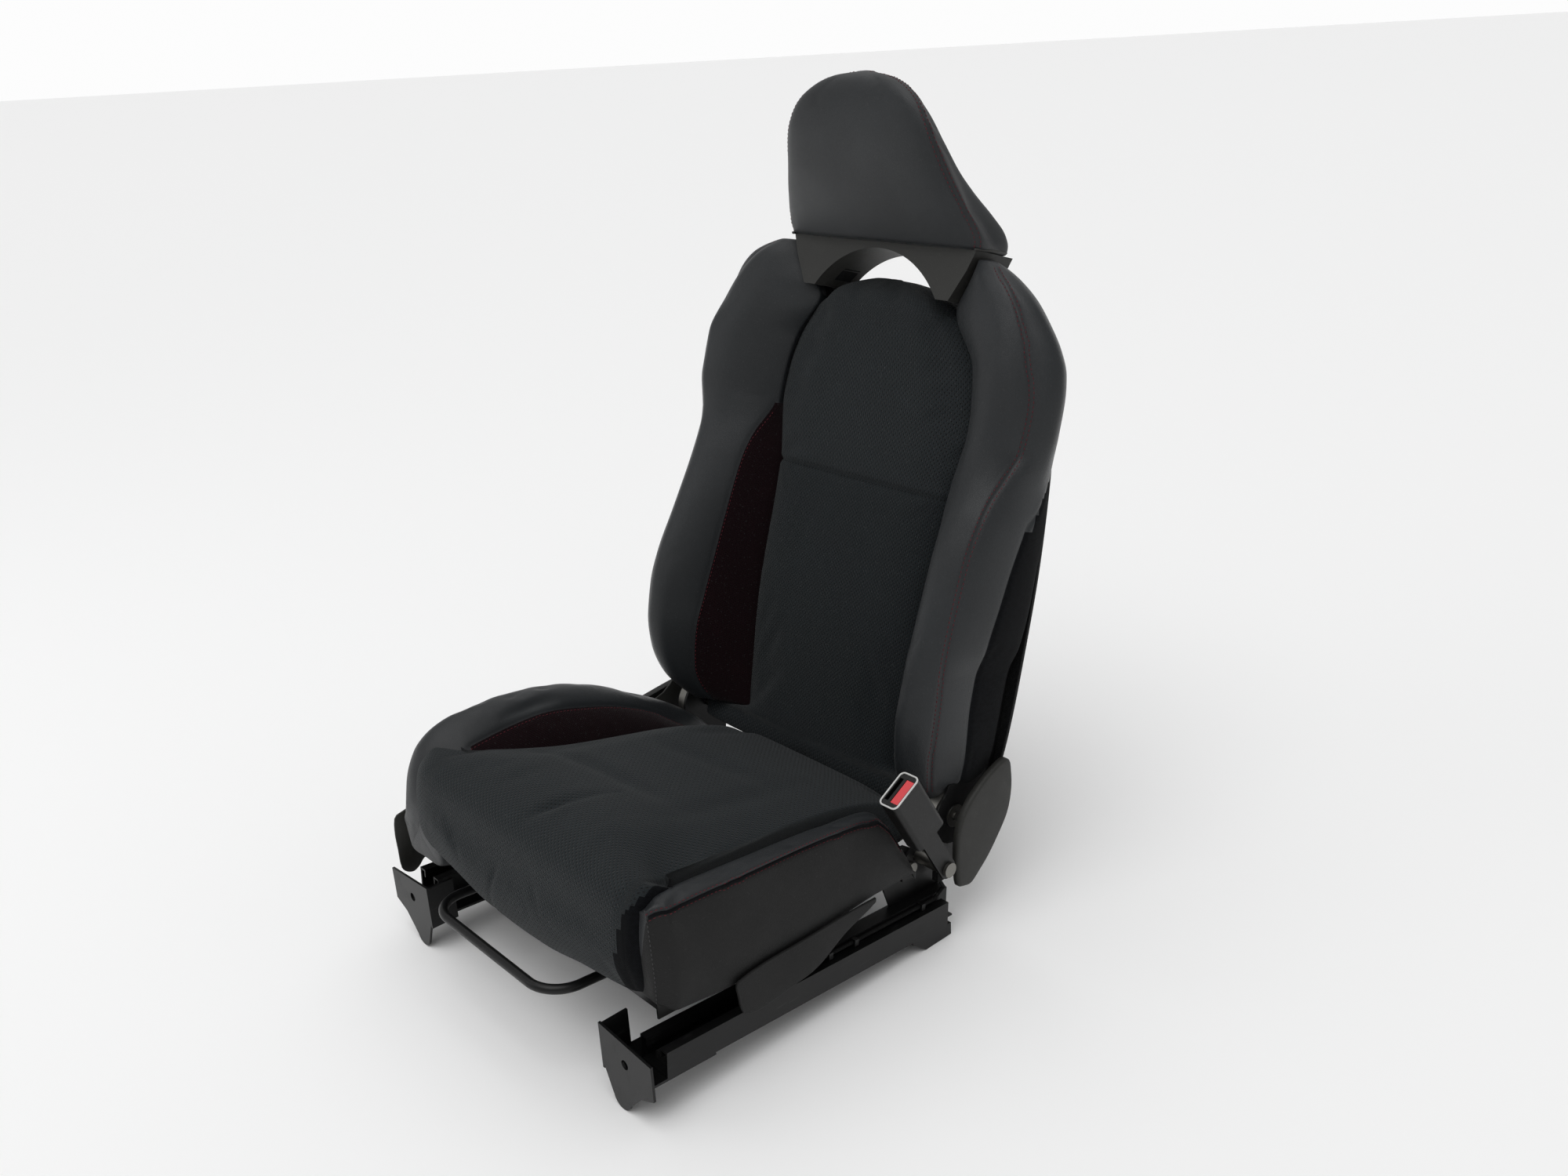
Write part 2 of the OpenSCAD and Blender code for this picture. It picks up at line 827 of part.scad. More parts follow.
module back_pad() {
  color([0.07, 0.10, 0.11])
    on_back()
      difference() {
        union() {
          translate([-0.6 * half, -12.5, -12])
            cube([1.2 * half, 5, 28]);
          intersection() {
            front_plate(-60, 140)
              panel_front_2d();
            side_plate(-half, 2 * half)
              polygon([[frame_y, 14], [frame_y, 0.885 * back_h], [frame_rear, 0.885 * back_h],
                [frame_rear, 0.928 * back_h], [10, 0.953 * back_h], [-18, 0.953 * back_h],
                [-24, 0.93 * back_h], [-12, 0.85 * back_h], [-8, 0.69 * back_h],
                [-10, 0.56 * back_h], [-17, 0.316 * back_h], [-14, 0.12 * back_h], [-10, 14]]);
          }
        }
        for (s = [-1, 1])
          translate([s * post_x, guide_y, 0])
            cylinder(h = back_h, r = guide_r + 8);
      }
}

module bolster_front_2d() {
  difference() {
    polygon([[0.3 * half, 16], [half + 23, 16], [half + 23, 172], [half + 34, 205],
      [half + 36, 0.5 * back_h], [half + 36, 0.62 * back_h], [half + 48, 0.72 * back_h],
      [half + 49, 0.79 * back_h], [half + 36, 0.87 * back_h], [half + 6, 0.945 * back_h],
      [0.84 * half, 0.994 * back_h], [0.735 * half, back_h], [0.55 * half, 0.955 * back_h],
      [0.3 * half, 0.93 * back_h]]);
    scale([1.008, 1])
      panel_front_2d();
    square([0.5 * half, back_h]);
    translate([1.5, -1.5])
      bezel_outline_2d();
  }
}

module bolster_depth_2d() {
  polygon([[frame_rear, 16], [-0.37 * bolster_d, 16], [-0.74 * bolster_d, 44],
    [-0.88 * bolster_d, 80], [-bolster_d, 125], [-bolster_d, 0.34 * back_h],
    [-0.89 * bolster_d, 0.486 * back_h], [-0.66 * bolster_d, 0.597 * back_h],
    [-0.42 * bolster_d, 0.69 * back_h], [-0.42 * bolster_d, 0.84 * back_h],
    [-0.34 * bolster_d, 0.90 * back_h], [-0.2 * bolster_d, back_h], [frame_rear - 14, back_h],
    [frame_rear, 0.95 * back_h]]);
}

module bolster_plan_2d() {
  polygon([[0.49 * half, frame_rear], [0.49 * half, -24], [0.68 * half, -26],
    [0.80 * half, -0.72 * bolster_d], [0.90 * half, -bolster_d], [half + 12, -bolster_d],
    [half + 34, -0.66 * bolster_d], [half + 52, -0.2 * bolster_d], [half + 52, frame_rear]]);
}

module back_bolster(side) {
  color([0.09, 0.09, 0.10])
    on_back()
      on_side(side)
        difference() {
          intersection() {
            front_plate(-bolster_d - 5, bolster_d + back_d + 10)
              bolster_front_2d();
            side_plate(0, half + 80)
              bolster_depth_2d();
            linear_extrude(2 * back_h)
              bolster_plan_2d();
          }
          translate([-1, frame_y, -10])
            cube([side_in + side_t + 2, back_d, 0.885 * back_h + 10]);
          x_rod(pocket_in, 0, 0, pocket_r, side_in + side_t + 2 - pocket_in);
          translate([post_x, guide_y, 0])
            cylinder(h = back_h, r = guide_r + 8);
        }
}

module back_panel() {
  color([0.06, 0.06, 0.06])
    on_back()
      front_plate(frame_rear, back_d - frame_rear)
        both_sides([[half + 12, 24], [half + 16, 172], [half + 26, 0.5 * back_h],
          [half + 38, 0.72 * back_h], [half + 38, 0.80 * back_h], [half + 10, 0.89 * back_h],
          [0.86 * half, 0.93 * back_h]], 0.925 * back_h);
}

module headrest_guides() {
  color([0.05, 0.05, 0.05])
    on_back()
      for (s = [-1, 1])
        difference() {
          union() {
            translate([s * post_x, guide_y, guide_low])
              cylinder(h = guide_top - guide_low, r = guide_r);
            translate([s * post_x, guide_y, guide_top - 9])
              cylinder(h = 9, r = guide_r + 4.5);
          }
          translate([s * post_x, guide_y, guide_low - 1])
            cylinder(h = guide_top - guide_low + 2, r = post_d / 2 + 0.05);
          if (s > 0)
            translate([post_x + post_d / 2 + 0.5, guide_y - 4, guide_top - 7.5])
              cube([guide_r, 8, 5.6]);
        }
}

module headrest_button() {
  color([0.05, 0.05, 0.05])
    on_back()
      translate([post_x + post_d / 2 + 2.7, guide_y - 3.6, guide_top - 7.1])
        cube([6.8, 7.2, 4.8]);
}

// ---- head restraint ----

module head_bar(r) {
  for (s = [-1, 1]) {
    translate([s * post_x, guide_y, post_low])
      cylinder(h = post_top - post_low, r = r);
    translate([s * post_x, guide_y, post_top])
      sphere(r);
  }
  x_rod(-post_x, guide_y, post_top, r, post_span);
}

module head_posts() {
  color([0.60, 0.61, 0.63])
    on_back()
      head_bar(post_d / 2);
}

module head_pad() {
  color([0.09, 0.09, 0.10])
    on_back()
      difference() {
        intersection() {
          front_plate(-120, 200)
            both_sides([[0.68 * half, head_z], [0.675 * half, head_z + 0.1 * head_h],
              [0.625 * half, head_z + 0.24 * head_h], [0.56 * half, head_z + 0.44 * head_h],
              [0.525 * half, head_z + 0.62 * head_h], [0.45 * half, head_z + 0.84 * head_h],
              [0.30 * half, head_z + 0.95 * head_h], [0.12 * half, head_z + 0.995 * head_h]],
              head_z + head_h);
          side_plate(-half, 2 * half)
            polygon([[-38, head_z], [-66, head_z + 0.22 * head_h], [-92, head_z + 0.44 * head_h],
              [-108, head_z + 0.66 * head_h], [-112, head_z + 0.86 * head_h],
              [-98, head_z + head_h], [-70, head_z + 0.97 * head_h],
              [-30, head_z + 0.66 * head_h], [20, head_z + 0.38 * head_h],
              [48, head_z + 0.14 * head_h], [44, head_z]]);
        }
        head_bar(post_d / 2);
      }
}

module bezel_outline_2d() {
  polygon([[-0.53 * half, leg_z], [0.53 * half, leg_z], [0.62 * half, leg_z + 36],
    [0.66 * half, leg_z + 58.8], [-0.66 * half, leg_z + 58.8], [-0.62 * half, leg_z + 36]]);
}

module head_bezel() {
  color([0.16, 0.16, 0.17])
    on_back()
      difference() {
        front_plate(-30, 66)
          difference() {
            bezel_outline_2d();
            translate([0, leg_z + arch_rise - arch_r])
              circle(arch_r, $fn = 128);
          }
        head_bar(post_d / 2);
      }
}

// ---- buckle ----

module rounded_2d(w, h, r) {
  translate([-w / 2 + r, -h / 2])
    square([w - 2 * r, h]);
  translate([-w / 2, -h / 2 + r])
    square([w, h - 2 * r]);
  for (i = [-1, 1])
    for (j = [-1, 1])
      translate([i * (w / 2 - r), j * (h / 2 - r)])
        circle(r);
}

module buckle_stalk() {
  color([0.10, 0.10, 0.11])
    on_buckle()
      difference() {
        union() {
          x_rod(-strap_t / 2, 0, 0, strap_w / 2, strap_t);
          translate([-strap_t / 2, -strap_w / 2, 0])
            cube([strap_t, strap_w, stalk_l + 12]);
        }
        x_rod(-strap_t / 2 - 1, 0, 0, anchor_r + 0.05, strap_t + 2);
      }
}

module buckle_housing() {
  slot_x = -buckle_t / 2 + 3.2;
  color([0.04, 0.04, 0.04])
    on_buckle()
      difference() {
        translate([0, 0, stalk_l])
          linear_extrude(buckle_l)
            rounded_2d(buckle_t, buckle_w, 6);
        translate([-strap_t / 2, -strap_w / 2, stalk_l - 1])
          cube([strap_t, strap_w, 13]);
        translate([slot_x, -buckle_w / 2 + 8, stalk_l + buckle_l - 42])
          cube([5.2, buckle_w - 16, 43]);
        translate([buckle_t / 2 - button_t - 3, -button_w / 2, stalk_l + buckle_l - 24])
          cube([button_t, button_w, 25]);
      }
}

module buckle_button() {
  color([0.75, 0.05, 0.05])
    on_buckle()
      translate([buckle_t / 2 - button_t - 2.65, -button_w / 2 + 0.35, stalk_l + buckle_l - 18])
        cube([button_t - 0.7, button_w - 0.7, 17.4]);
}

lower_rail(1);  // lower_rail_left
lower_rail(-1);  // lower_rail_right
front_foot(1);  // front_foot_left
front_foot(-1);  // front_foot_right
rear_foot(1);  // rear_foot_left
rear_foot(-1);  // rear_foot_right
rail_rollers();
rail_stops();
foot_rivets();
upper_rail(1);  // upper_rail_left
upper_rail(-1);  // upper_rail_right
side_frame(1);  // side_frame_left
side_frame(-1);  // side_frame_right
front_pan();
rear_tube();
seat_springs();
cushion_pad();
cushion_bolster(1);  // cushion_bolster_left
cushion_bolster(-1);  // cushion_bolster_right
trim_flap();
side_valance();
recliner_shield();
recliner_arm(1);  // recliner_arm_left
recliner_arm(-1);  // recliner_arm_right
recliner_disc(1);  // recliner_disc_left
recliner_disc(-1);  // recliner_disc_right
frame_bolts();
buckle_anchor();
seat_lead();
lead_clips();
latch_pins();
lift_bar();
latch_lever(1);  // latch_lever_left
latch_lever(-1);  // latch_lever_right
recliner_rod();
recliner_handle();
back_side(1);  // back_side_left
back_side(-1);  // back_side_right
back_hoop();
back_cross();
back_springs();
back_pad();
back_bolster(1);  // back_bolster_left
back_bolster(-1);  // back_bolster_right
back_panel();
headrest_guides();
head_posts();
head_pad();
head_bezel();
headrest_button();
buckle_stalk();
buckle_housing();
buckle_button();
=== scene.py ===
"""Reclining sport seat: its upholstery, trims, finishes, studio and camera."""

import logging
import math
from dataclasses import dataclass, field
from enum import Enum
from typing import Callable, Iterable, Sequence

import bmesh
import bpy
import numpy as np
from mathutils import Matrix, Vector
from mathutils.bvhtree import BVHTree


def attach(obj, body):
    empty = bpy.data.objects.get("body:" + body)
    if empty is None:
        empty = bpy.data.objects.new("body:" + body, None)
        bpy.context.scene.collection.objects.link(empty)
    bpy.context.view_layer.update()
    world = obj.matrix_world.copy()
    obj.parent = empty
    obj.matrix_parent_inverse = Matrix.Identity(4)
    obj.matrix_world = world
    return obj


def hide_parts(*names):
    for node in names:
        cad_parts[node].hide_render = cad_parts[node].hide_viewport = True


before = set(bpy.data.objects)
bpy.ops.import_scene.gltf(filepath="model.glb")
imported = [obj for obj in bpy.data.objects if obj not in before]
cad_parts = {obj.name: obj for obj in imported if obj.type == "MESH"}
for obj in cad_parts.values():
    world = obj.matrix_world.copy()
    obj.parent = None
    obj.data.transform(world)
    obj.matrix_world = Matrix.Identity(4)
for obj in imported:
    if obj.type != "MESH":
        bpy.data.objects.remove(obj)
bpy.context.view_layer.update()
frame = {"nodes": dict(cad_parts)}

logging.basicConfig(level=logging.INFO, format="%(message)s")
log = logging.getLogger("seat")

MM = 0.001
LEAN = math.radians(16.0)
PIVOT = np.array([0.0, 0.135, 0.150])
FILL_FRAMES = 18
END_SHRINK = (0.35, 0.7, 0.9)

Row = tuple[float, ...]
Table = tuple[Row, ...]
Points = np.ndarray


class Body(Enum):
    """The moving bodies that a piece can ride on."""

    BASE = "seat_base"
    BACK = "backrest"
    HEAD = "head_restraint"
    BUCKLE = "buckle"
    RECLINER = "recliner_lever"


# ---- numbers along a run ----


def at(table: Table, t: float | Points) -> Points:
    """Read a table smoothly, without overshoot.

    Args:
        table: rows of a position followed by its values, in rising order.
        t: the position or positions to read.

    Returns:
        One row of values for each position.
    """
    rows = np.asarray(table, float)
    x, y = rows[:, 0], rows[:, 1:]
    h = np.diff(x)[:, None]
    d = np.diff(y, axis=0) / h
    m = np.zeros_like(y)
    m[0], m[-1] = d[0], d[-1]
    if len(x) > 2:
        w1, w2 = 2 * h[1:] + h[:-1], h[1:] + 2 * h[:-1]
        same = d[:-1] * d[1:] > 0
        a = np.where(same, d[:-1], 1.0)
        b = np.where(same, d[1:], 1.0)
        m[1:-1] = np.where(same, (w1 + w2) / (w1 / a + w2 / b), 0.0)
    t = np.clip(np.asarray(t, float), x[0], x[-1])
    k = np.clip(np.searchsorted(x, t, side="right") - 1, 0, len(x) - 2)
    u = ((t - x[k]) / (x[k + 1] - x[k]))[..., None]
    hk = (x[k + 1] - x[k])[..., None]
    return (
        (1 + 2 * u) * (1 - u) ** 2 * y[k]
        + u * (1 - u) ** 2 * hk * m[k]
        + u * u * (3 - 2 * u) * y[k + 1]
        + u * u * (u - 1) * hk * m[k + 1]
    )


def flow(points: Points, per: int, closed: bool = True) -> Points:
    """Run a smooth curve through key points.

    Args:
        points: the key points, one row each.
        per: samples from each key point to the next.
        closed: whether the curve returns to its first point.

    Returns:
        The samples, in which key point k is row k * per.
    """
    p = np.asarray(points, float)
    n = len(p)
    spans = n if closed else n - 1
    nxt = np.roll(p, -1, axis=0)
    prv = np.roll(p, 1, axis=0)
    if not closed:
        nxt[-1] = p[-1]
        prv[0] = p[0]
    l1 = np.linalg.norm(nxt - p, axis=1, keepdims=True)
    l0 = np.linalg.norm(p - prv, axis=1, keepdims=True)
    m = (nxt - prv) / np.maximum(l0 + l1, 1e-9)
    out = []
    for k in range(spans):
        a, b = p[k], p[(k + 1) % n]
        length = np.linalg.norm(b - a)
        for u in np.arange(per) / per:
            out.append(
                (1 + 2 * u) * (1 - u) ** 2 * a
                + u * (1 - u) ** 2 * length * m[k]
                + u * u * (3 - 2 * u) * b
                + u * u * (u - 1) * length * m[(k + 1) % n]
            )
    if not closed:
        out.append(p[-1])
    return np.asarray(out)


def even(path: Points, step: float) -> Points:
    """Resample an open path at an even step, ends kept."""
    seg = np.linalg.norm(np.diff(path, axis=0), axis=1)
    s = np.concatenate([[0], np.cumsum(seg)])
    n = max(2, int(round(s[-1] / step)) + 1)
    t = np.linspace(0, s[-1], n)
    return np.stack([np.interp(t, s, path[:, c]) for c in range(3)], axis=1)


def on_back(points: Points) -> Points:
    """Turn points in the backrest's own upright frame (mm) into the row frame (m)."""
    p = np.asarray(points, float) * MM
    c, s = math.cos(LEAN), math.sin(LEAN)
    out = np.empty_like(p)
    out[..., 0] = p[..., 0]
    out[..., 1] = PIVOT[1] + p[..., 1] * c + p[..., 2] * s
    out[..., 2] = PIVOT[2] - p[..., 1] * s + p[..., 2] * c
    return out


def rising(lo: float, hi: float, n: int, ease: float = 0.0) -> Points:
    """Stations from lo to hi, closer together towards both ends as ease goes to 1."""
    t = np.linspace(0, 1, n)
    return lo + (hi - lo) * ((1 - ease) * t + ease * (0.5 - 0.5 * np.cos(np.pi * t)))


# ---- finishes ----


class Graph:
    """A node tree with short calls to add and join nodes."""

    def __init__(self, tree: bpy.types.NodeTree) -> None:
        """Keep the tree that is being filled."""
        self.tree = tree

    def add(self, kind: str, inputs: dict | None = None, **settings: object) -> bpy.types.Node:
        """Add a node.

        Args:
            kind: the node's type.
            inputs: values or output sockets for its named or numbered inputs.
            settings: properties set on the node itself.

        Returns:
            The new node.
        """
        made = self.tree.nodes.new(kind)
        for key, value in settings.items():
            setattr(made, key, value)
        for key, value in (inputs or {}).items():
            if isinstance(value, bpy.types.NodeSocket):
                self.tree.links.new(value, made.inputs[key])
            else:
                made.inputs[key].default_value = value
        return made

    def math(self, how: str, a: object, b: object = 0.0, clamp: bool = False) -> bpy.types.NodeSocket:
        """Add a Math node and return its result."""
        return self.add("ShaderNodeMath", {0: a, 1: b}, operation=how, use_clamp=clamp).outputs[0]

    def span(
        self, value: object, lo: float, hi: float, to_lo: float = 0.0, to_hi: float = 1.0
    ) -> bpy.types.NodeSocket:
        """Map a value smoothly from one range to another and return the result."""
        inputs = {"Value": value, "From Min": lo, "From Max": hi, "To Min": to_lo, "To Max": to_hi}
        return self.add("ShaderNodeMapRange", inputs, interpolation_type="SMOOTHSTEP").outputs["Result"]

    def blend(self, amount: object, a: object, b: object) -> bpy.types.NodeSocket:
        """Mix two colours and return the result."""
        made = self.tree.nodes.new("ShaderNodeMix")
        made.data_type = "RGBA"
        for socket, value in ((made.inputs[0], amount), (made.inputs[6], a), (made.inputs[7], b)):
            if isinstance(value, bpy.types.NodeSocket):
                self.tree.links.new(value, socket)
            else:
                socket.default_value = value
        return made.outputs[2]


def shared(
    name: str, ins: Sequence[tuple[str, str, object]], outs: Sequence[str], fill: Callable
) -> bpy.types.NodeTree:
    """Make a shader node group once.

    Args:
        name: the group's name.
        ins: each input's name, socket kind and starting value.
        outs: the names of its number outputs.
        fill: called with the graph, the group's input node and its output node.

    Returns:
        The group.
    """
    found = bpy.data.node_groups.get(name)
    if found:
        return found
    tree = bpy.data.node_groups.new(name, "ShaderNodeTree")
    for label, kind, value in ins:
        socket = tree.interface.new_socket(name=label, in_out="INPUT", socket_type=kind)
        if value is not None:
            socket.default_value = value
    for label in outs:
        tree.interface.new_socket(name=label, in_out="OUTPUT", socket_type="NodeSocketFloat")
    graph = Graph(tree)
    fill(graph, graph.add("NodeGroupInput"), graph.add("NodeGroupOutput"))
    return tree


FLOAT, VECTOR = "NodeSocketFloat", "NodeSocketVector"


def grain_group() -> bpy.types.NodeTree:
    """Pebbled grain with broad unevenness, for leather and moulded plastic."""

    def fill(g: Graph, i: bpy.types.Node, o: bpy.types.Node) -> None:
        """Join the grain's nodes."""
        turns = g.math("DIVIDE", 1.0, i.outputs["Pebble"])
        cells = g.add("ShaderNodeTexVoronoi", {"Vector": i.outputs["Vector"], "Scale": turns},
            feature="DISTANCE_TO_EDGE")
        fine = g.add("ShaderNodeTexNoise", {"Vector": i.outputs["Vector"],
            "Scale": g.math("MULTIPLY", turns, 2.3), "Detail": 2.0})
        broad = g.add("ShaderNodeTexNoise", {"Vector": i.outputs["Vector"], "Scale": 9.0, "Detail": 3.0})
        valley = g.span(cells.outputs["Distance"], 0.0, 0.22)
        high = g.math("ADD", g.math("MULTIPLY", valley, 0.75), g.math("MULTIPLY", fine.outputs[0], 0.4))
        g.tree.links.new(high, o.inputs["Height"])
        g.tree.links.new(g.span(broad.outputs[0], 0.3, 0.7), o.inputs["Broad"])
        g.tree.links.new(valley, o.inputs["Pebbles"])

    return shared("Pebbled Grain", [("Vector", VECTOR, None), ("Pebble", FLOAT, 0.0012)],
        ["Height", "Broad", "Pebbles"], fill)


def knit_group() -> bpy.types.NodeTree:
    """Spacer knit: staggered eyelets between raised loops."""

    def fill(g: Graph, i: bpy.types.Node, o: bpy.types.Node) -> None:
        """Join the knit's nodes."""
        parts = g.add("ShaderNodeSeparateXYZ", {0: i.outputs["Vector"]})
        wobble = g.add("ShaderNodeTexNoise", {"Vector": i.outputs["Vector"], "Scale": 60.0, "Detail": 1.0})
        shift = g.math("MULTIPLY", g.math("SUBTRACT", wobble.outputs[0], 0.5), 0.5)
        u = g.math("ADD", g.math("DIVIDE", parts.outputs[0], i.outputs["Across"]), shift)
        v = g.math("DIVIDE", parts.outputs[1], i.outputs["Along"])
        cu = g.math("COSINE", g.math("MULTIPLY", u, math.tau))
        cv = g.math("COSINE", g.math("MULTIPLY", v, math.tau))
        lattice = g.math("MULTIPLY", cu, cv)
        eyelet = g.span(lattice, i.outputs["Open"], 0.95)
        loops = g.math("MULTIPLY", g.math("COSINE", g.math("MULTIPLY", u, math.tau * 3)), 0.12)
        high = g.math("ADD", g.math("SUBTRACT", 1.0, eyelet), loops)
        g.tree.links.new(high, o.inputs["Height"])
        g.tree.links.new(eyelet, o.inputs["Eyelet"])

    ins = [("Vector", VECTOR, None), ("Across", FLOAT, 0.0065), ("Along", FLOAT, 0.0075),
        ("Open", FLOAT, 0.35)]
    return shared("Spacer Knit", ins, ["Height", "Eyelet"], fill)


def weave_group() -> bpy.types.NodeTree:
    """Plain fine weave with a slubby yarn."""

    def fill(g: Graph, i: bpy.types.Node, o: bpy.types.Node) -> None:
        """Join the weave's nodes."""
        parts = g.add("ShaderNodeSeparateXYZ", {0: i.outputs["Vector"]})
        turn = g.math("DIVIDE", math.tau, i.outputs["Yarn"])
        su = g.math("SINE", g.math("MULTIPLY", parts.outputs[0], turn))
        sv = g.math("SINE", g.math("MULTIPLY", parts.outputs[1], turn))
        slub = g.add("ShaderNodeTexNoise", {"Vector": i.outputs["Vector"], "Scale": 240.0, "Detail": 2.0})
        high = g.math("ADD", g.math("MULTIPLY", su, sv), slub.outputs[0])
        g.tree.links.new(g.math("MULTIPLY", high, 0.5), o.inputs["Height"])
        g.tree.links.new(slub.outputs[0], o.inputs["Slub"])

    return shared("Plain Weave", [("Vector", VECTOR, None), ("Yarn", FLOAT, 0.002)], ["Height", "Slub"], fill)


def wear_group() -> bpy.types.NodeTree:
    """Patchy rubbing, and fine dust."""

    def fill(g: Graph, i: bpy.types.Node, o: bpy.types.Node) -> None:
        """Join the wear's nodes."""
        patch = g.add("ShaderNodeTexNoise", {"Vector": i.outputs["Vector"], "Scale": 26.0, "Detail": 6.0,
            "Roughness": 0.65})
        specks = g.add("ShaderNodeTexNoise", {"Vector": i.outputs["Vector"], "Scale": 420.0, "Detail": 2.0})
        rubbed = g.math("MULTIPLY", g.span(patch.outputs[0], 0.5, 0.75), i.outputs["Amount"])
        dust = g.math("MULTIPLY", g.span(specks.outputs[0], 0.62, 0.75), i.outputs["Amount"])
        g.tree.links.new(rubbed, o.inputs["Rubbed"])
        g.tree.links.new(dust, o.inputs["Dust"])

    return shared("Rubbing And Dust", [("Vector", VECTOR, None), ("Amount", FLOAT, 0.4)],
        ["Rubbed", "Dust"], fill)


Colour = tuple[float, float, float]


def rgba(colour: Colour, gain: float = 1.0) -> tuple[float, float, float, float]:
    """A colour with full opacity, made lighter or darker by gain."""
    return (colour[0] * gain, colour[1] * gain, colour[2] * gain, 1.0)


@dataclass(frozen=True)
class Finish:
    """What every finish shares: its name, colour and gloss."""

    name: str
    colour: Colour
    rough: float = 0.5
    relief: float = 0.15
    shine: float = 0.25

    def material(self) -> bpy.types.Material:
        """The finish's material, made the first time that it is asked for."""
        found = bpy.data.materials.get(self.name)
        if found:
            return found
        made = bpy.data.materials.new(self.name)
        made.use_nodes = True
        made.diffuse_color = rgba(self.colour)
        graph = Graph(made.node_tree)
        shader = made.node_tree.nodes["Principled BSDF"]
        shader.inputs["Specular IOR Level"].default_value = self.shine
        self.dress(graph, shader)
        return made

    def dress(self, g: Graph, shader: bpy.types.Node) -> None:
        """Join the finish's nodes to the shader."""
        raise NotImplementedError

    def place(self, g: Graph, which: str = "Object") -> bpy.types.NodeSocket:
        """The coordinates that the finish's textures read."""
        return g.add("ShaderNodeTexCoord").outputs[which]

    def raise_skin(
        self, g: Graph, shader: bpy.types.Node, height: bpy.types.NodeSocket, depth: float
    ) -> None:
        """Join a height to the shader's normal as relief of that depth in metres."""
        bump = g.add("ShaderNodeBump", {"Height": height, "Strength": self.relief, "Distance": depth})
        g.tree.links.new(bump.outputs[0], shader.inputs["Normal"])


@dataclass(frozen=True)
class LeatherFinish(Finish):
    """Synthetic leather: pebbled, a little polished where it is rubbed."""

    pebble: float = 0.0013

    def dress(self, g: Graph, shader: bpy.types.Node) -> None:
        """Join grain, broad tone and polish."""
        where = self.place(g)
        grain = g.add("ShaderNodeGroup", node_tree=grain_group())
        g.tree.links.new(where, grain.inputs["Vector"])
        grain.inputs["Pebble"].default_value = self.pebble
        wear = g.add("ShaderNodeGroup", node_tree=wear_group())
        g.tree.links.new(where, wear.inputs["Vector"])
        wear.inputs["Amount"].default_value = 0.35
        base = g.blend(grain.outputs["Broad"], rgba(self.colour, 0.86), rgba(self.colour, 1.16))
        base = g.blend(g.math("MULTIPLY", grain.outputs["Pebbles"], 0.35), base, rgba(self.colour, 1.25))
        base = g.blend(g.math("MULTIPLY", wear.outputs["Dust"], 0.5), base, rgba((0.07, 0.07, 0.07)))
        g.tree.links.new(base, shader.inputs["Base Color"])
        rough = g.math("SUBTRACT", self.rough + 0.05, g.math("MULTIPLY", grain.outputs["Broad"], 0.1))
        g.tree.links.new(rough, shader.inputs["Roughness"])
        shader.inputs["Sheen Weight"].default_value = 0.02
        self.raise_skin(g, shader, grain.outputs["Height"], 0.0004)


@dataclass(frozen=True)
class KnitFinish(Finish):
    """Three-layer knit whose eyelets show a darker lining."""

    across: float = 0.0065
    along: float = 0.0075
    opening: float = 0.35
    lining: Colour = (0.002, 0.003, 0.004)

    def dress(self, g: Graph, shader: bpy.types.Node) -> None:
        """Join loops, eyelets and tone."""
        where = self.place(g, "UV")
        knit = g.add("ShaderNodeGroup", node_tree=knit_group())
        g.tree.links.new(where, knit.inputs["Vector"])
        knit.inputs["Across"].default_value = self.across
        knit.inputs["Along"].default_value = self.along
        knit.inputs["Open"].default_value = self.opening
        wear = g.add("ShaderNodeGroup", node_tree=wear_group())
        g.tree.links.new(self.place(g), wear.inputs["Vector"])
        wear.inputs["Amount"].default_value = 0.5
        yarn = g.blend(wear.outputs["Rubbed"], rgba(self.colour, 0.9), rgba(self.colour, 1.3))
        base = g.blend(knit.outputs["Eyelet"], yarn, rgba(self.lining))
        base = g.blend(g.math("MULTIPLY", wear.outputs["Dust"], 0.6), base, rgba((0.06, 0.065, 0.065)))
        g.tree.links.new(base, shader.inputs["Base Color"])
        shader.inputs["Roughness"].default_value = self.rough
        shader.inputs["Sheen Weight"].default_value = 0.06
        shader.inputs["Sheen Roughness"].default_value = 0.5
        self.raise_skin(g, shader, knit.outputs["Height"], 0.0012)


@dataclass(frozen=True)
class ClothFinish(Finish):
    """Plain woven cloth or carpet."""

    yarn: float = 0.002

    def dress(self, g: Graph, shader: bpy.types.Node) -> None:
        """Join weave and tone."""
        weave = g.add("ShaderNodeGroup", node_tree=weave_group())
        g.tree.links.new(self.place(g, "UV"), weave.inputs["Vector"])
        weave.inputs["Yarn"].default_value = self.yarn
        tone = g.span(weave.outputs["Slub"], 0.3, 0.7)
        base = g.blend(tone, rgba(self.colour, 0.7), rgba(self.colour, 1.4))
        g.tree.links.new(base, shader.inputs["Base Color"])
        shader.inputs["Roughness"].default_value = self.rough
        shader.inputs["Sheen Weight"].default_value = 0.03
        self.raise_skin(g, shader, weave.outputs["Height"], 0.0008)


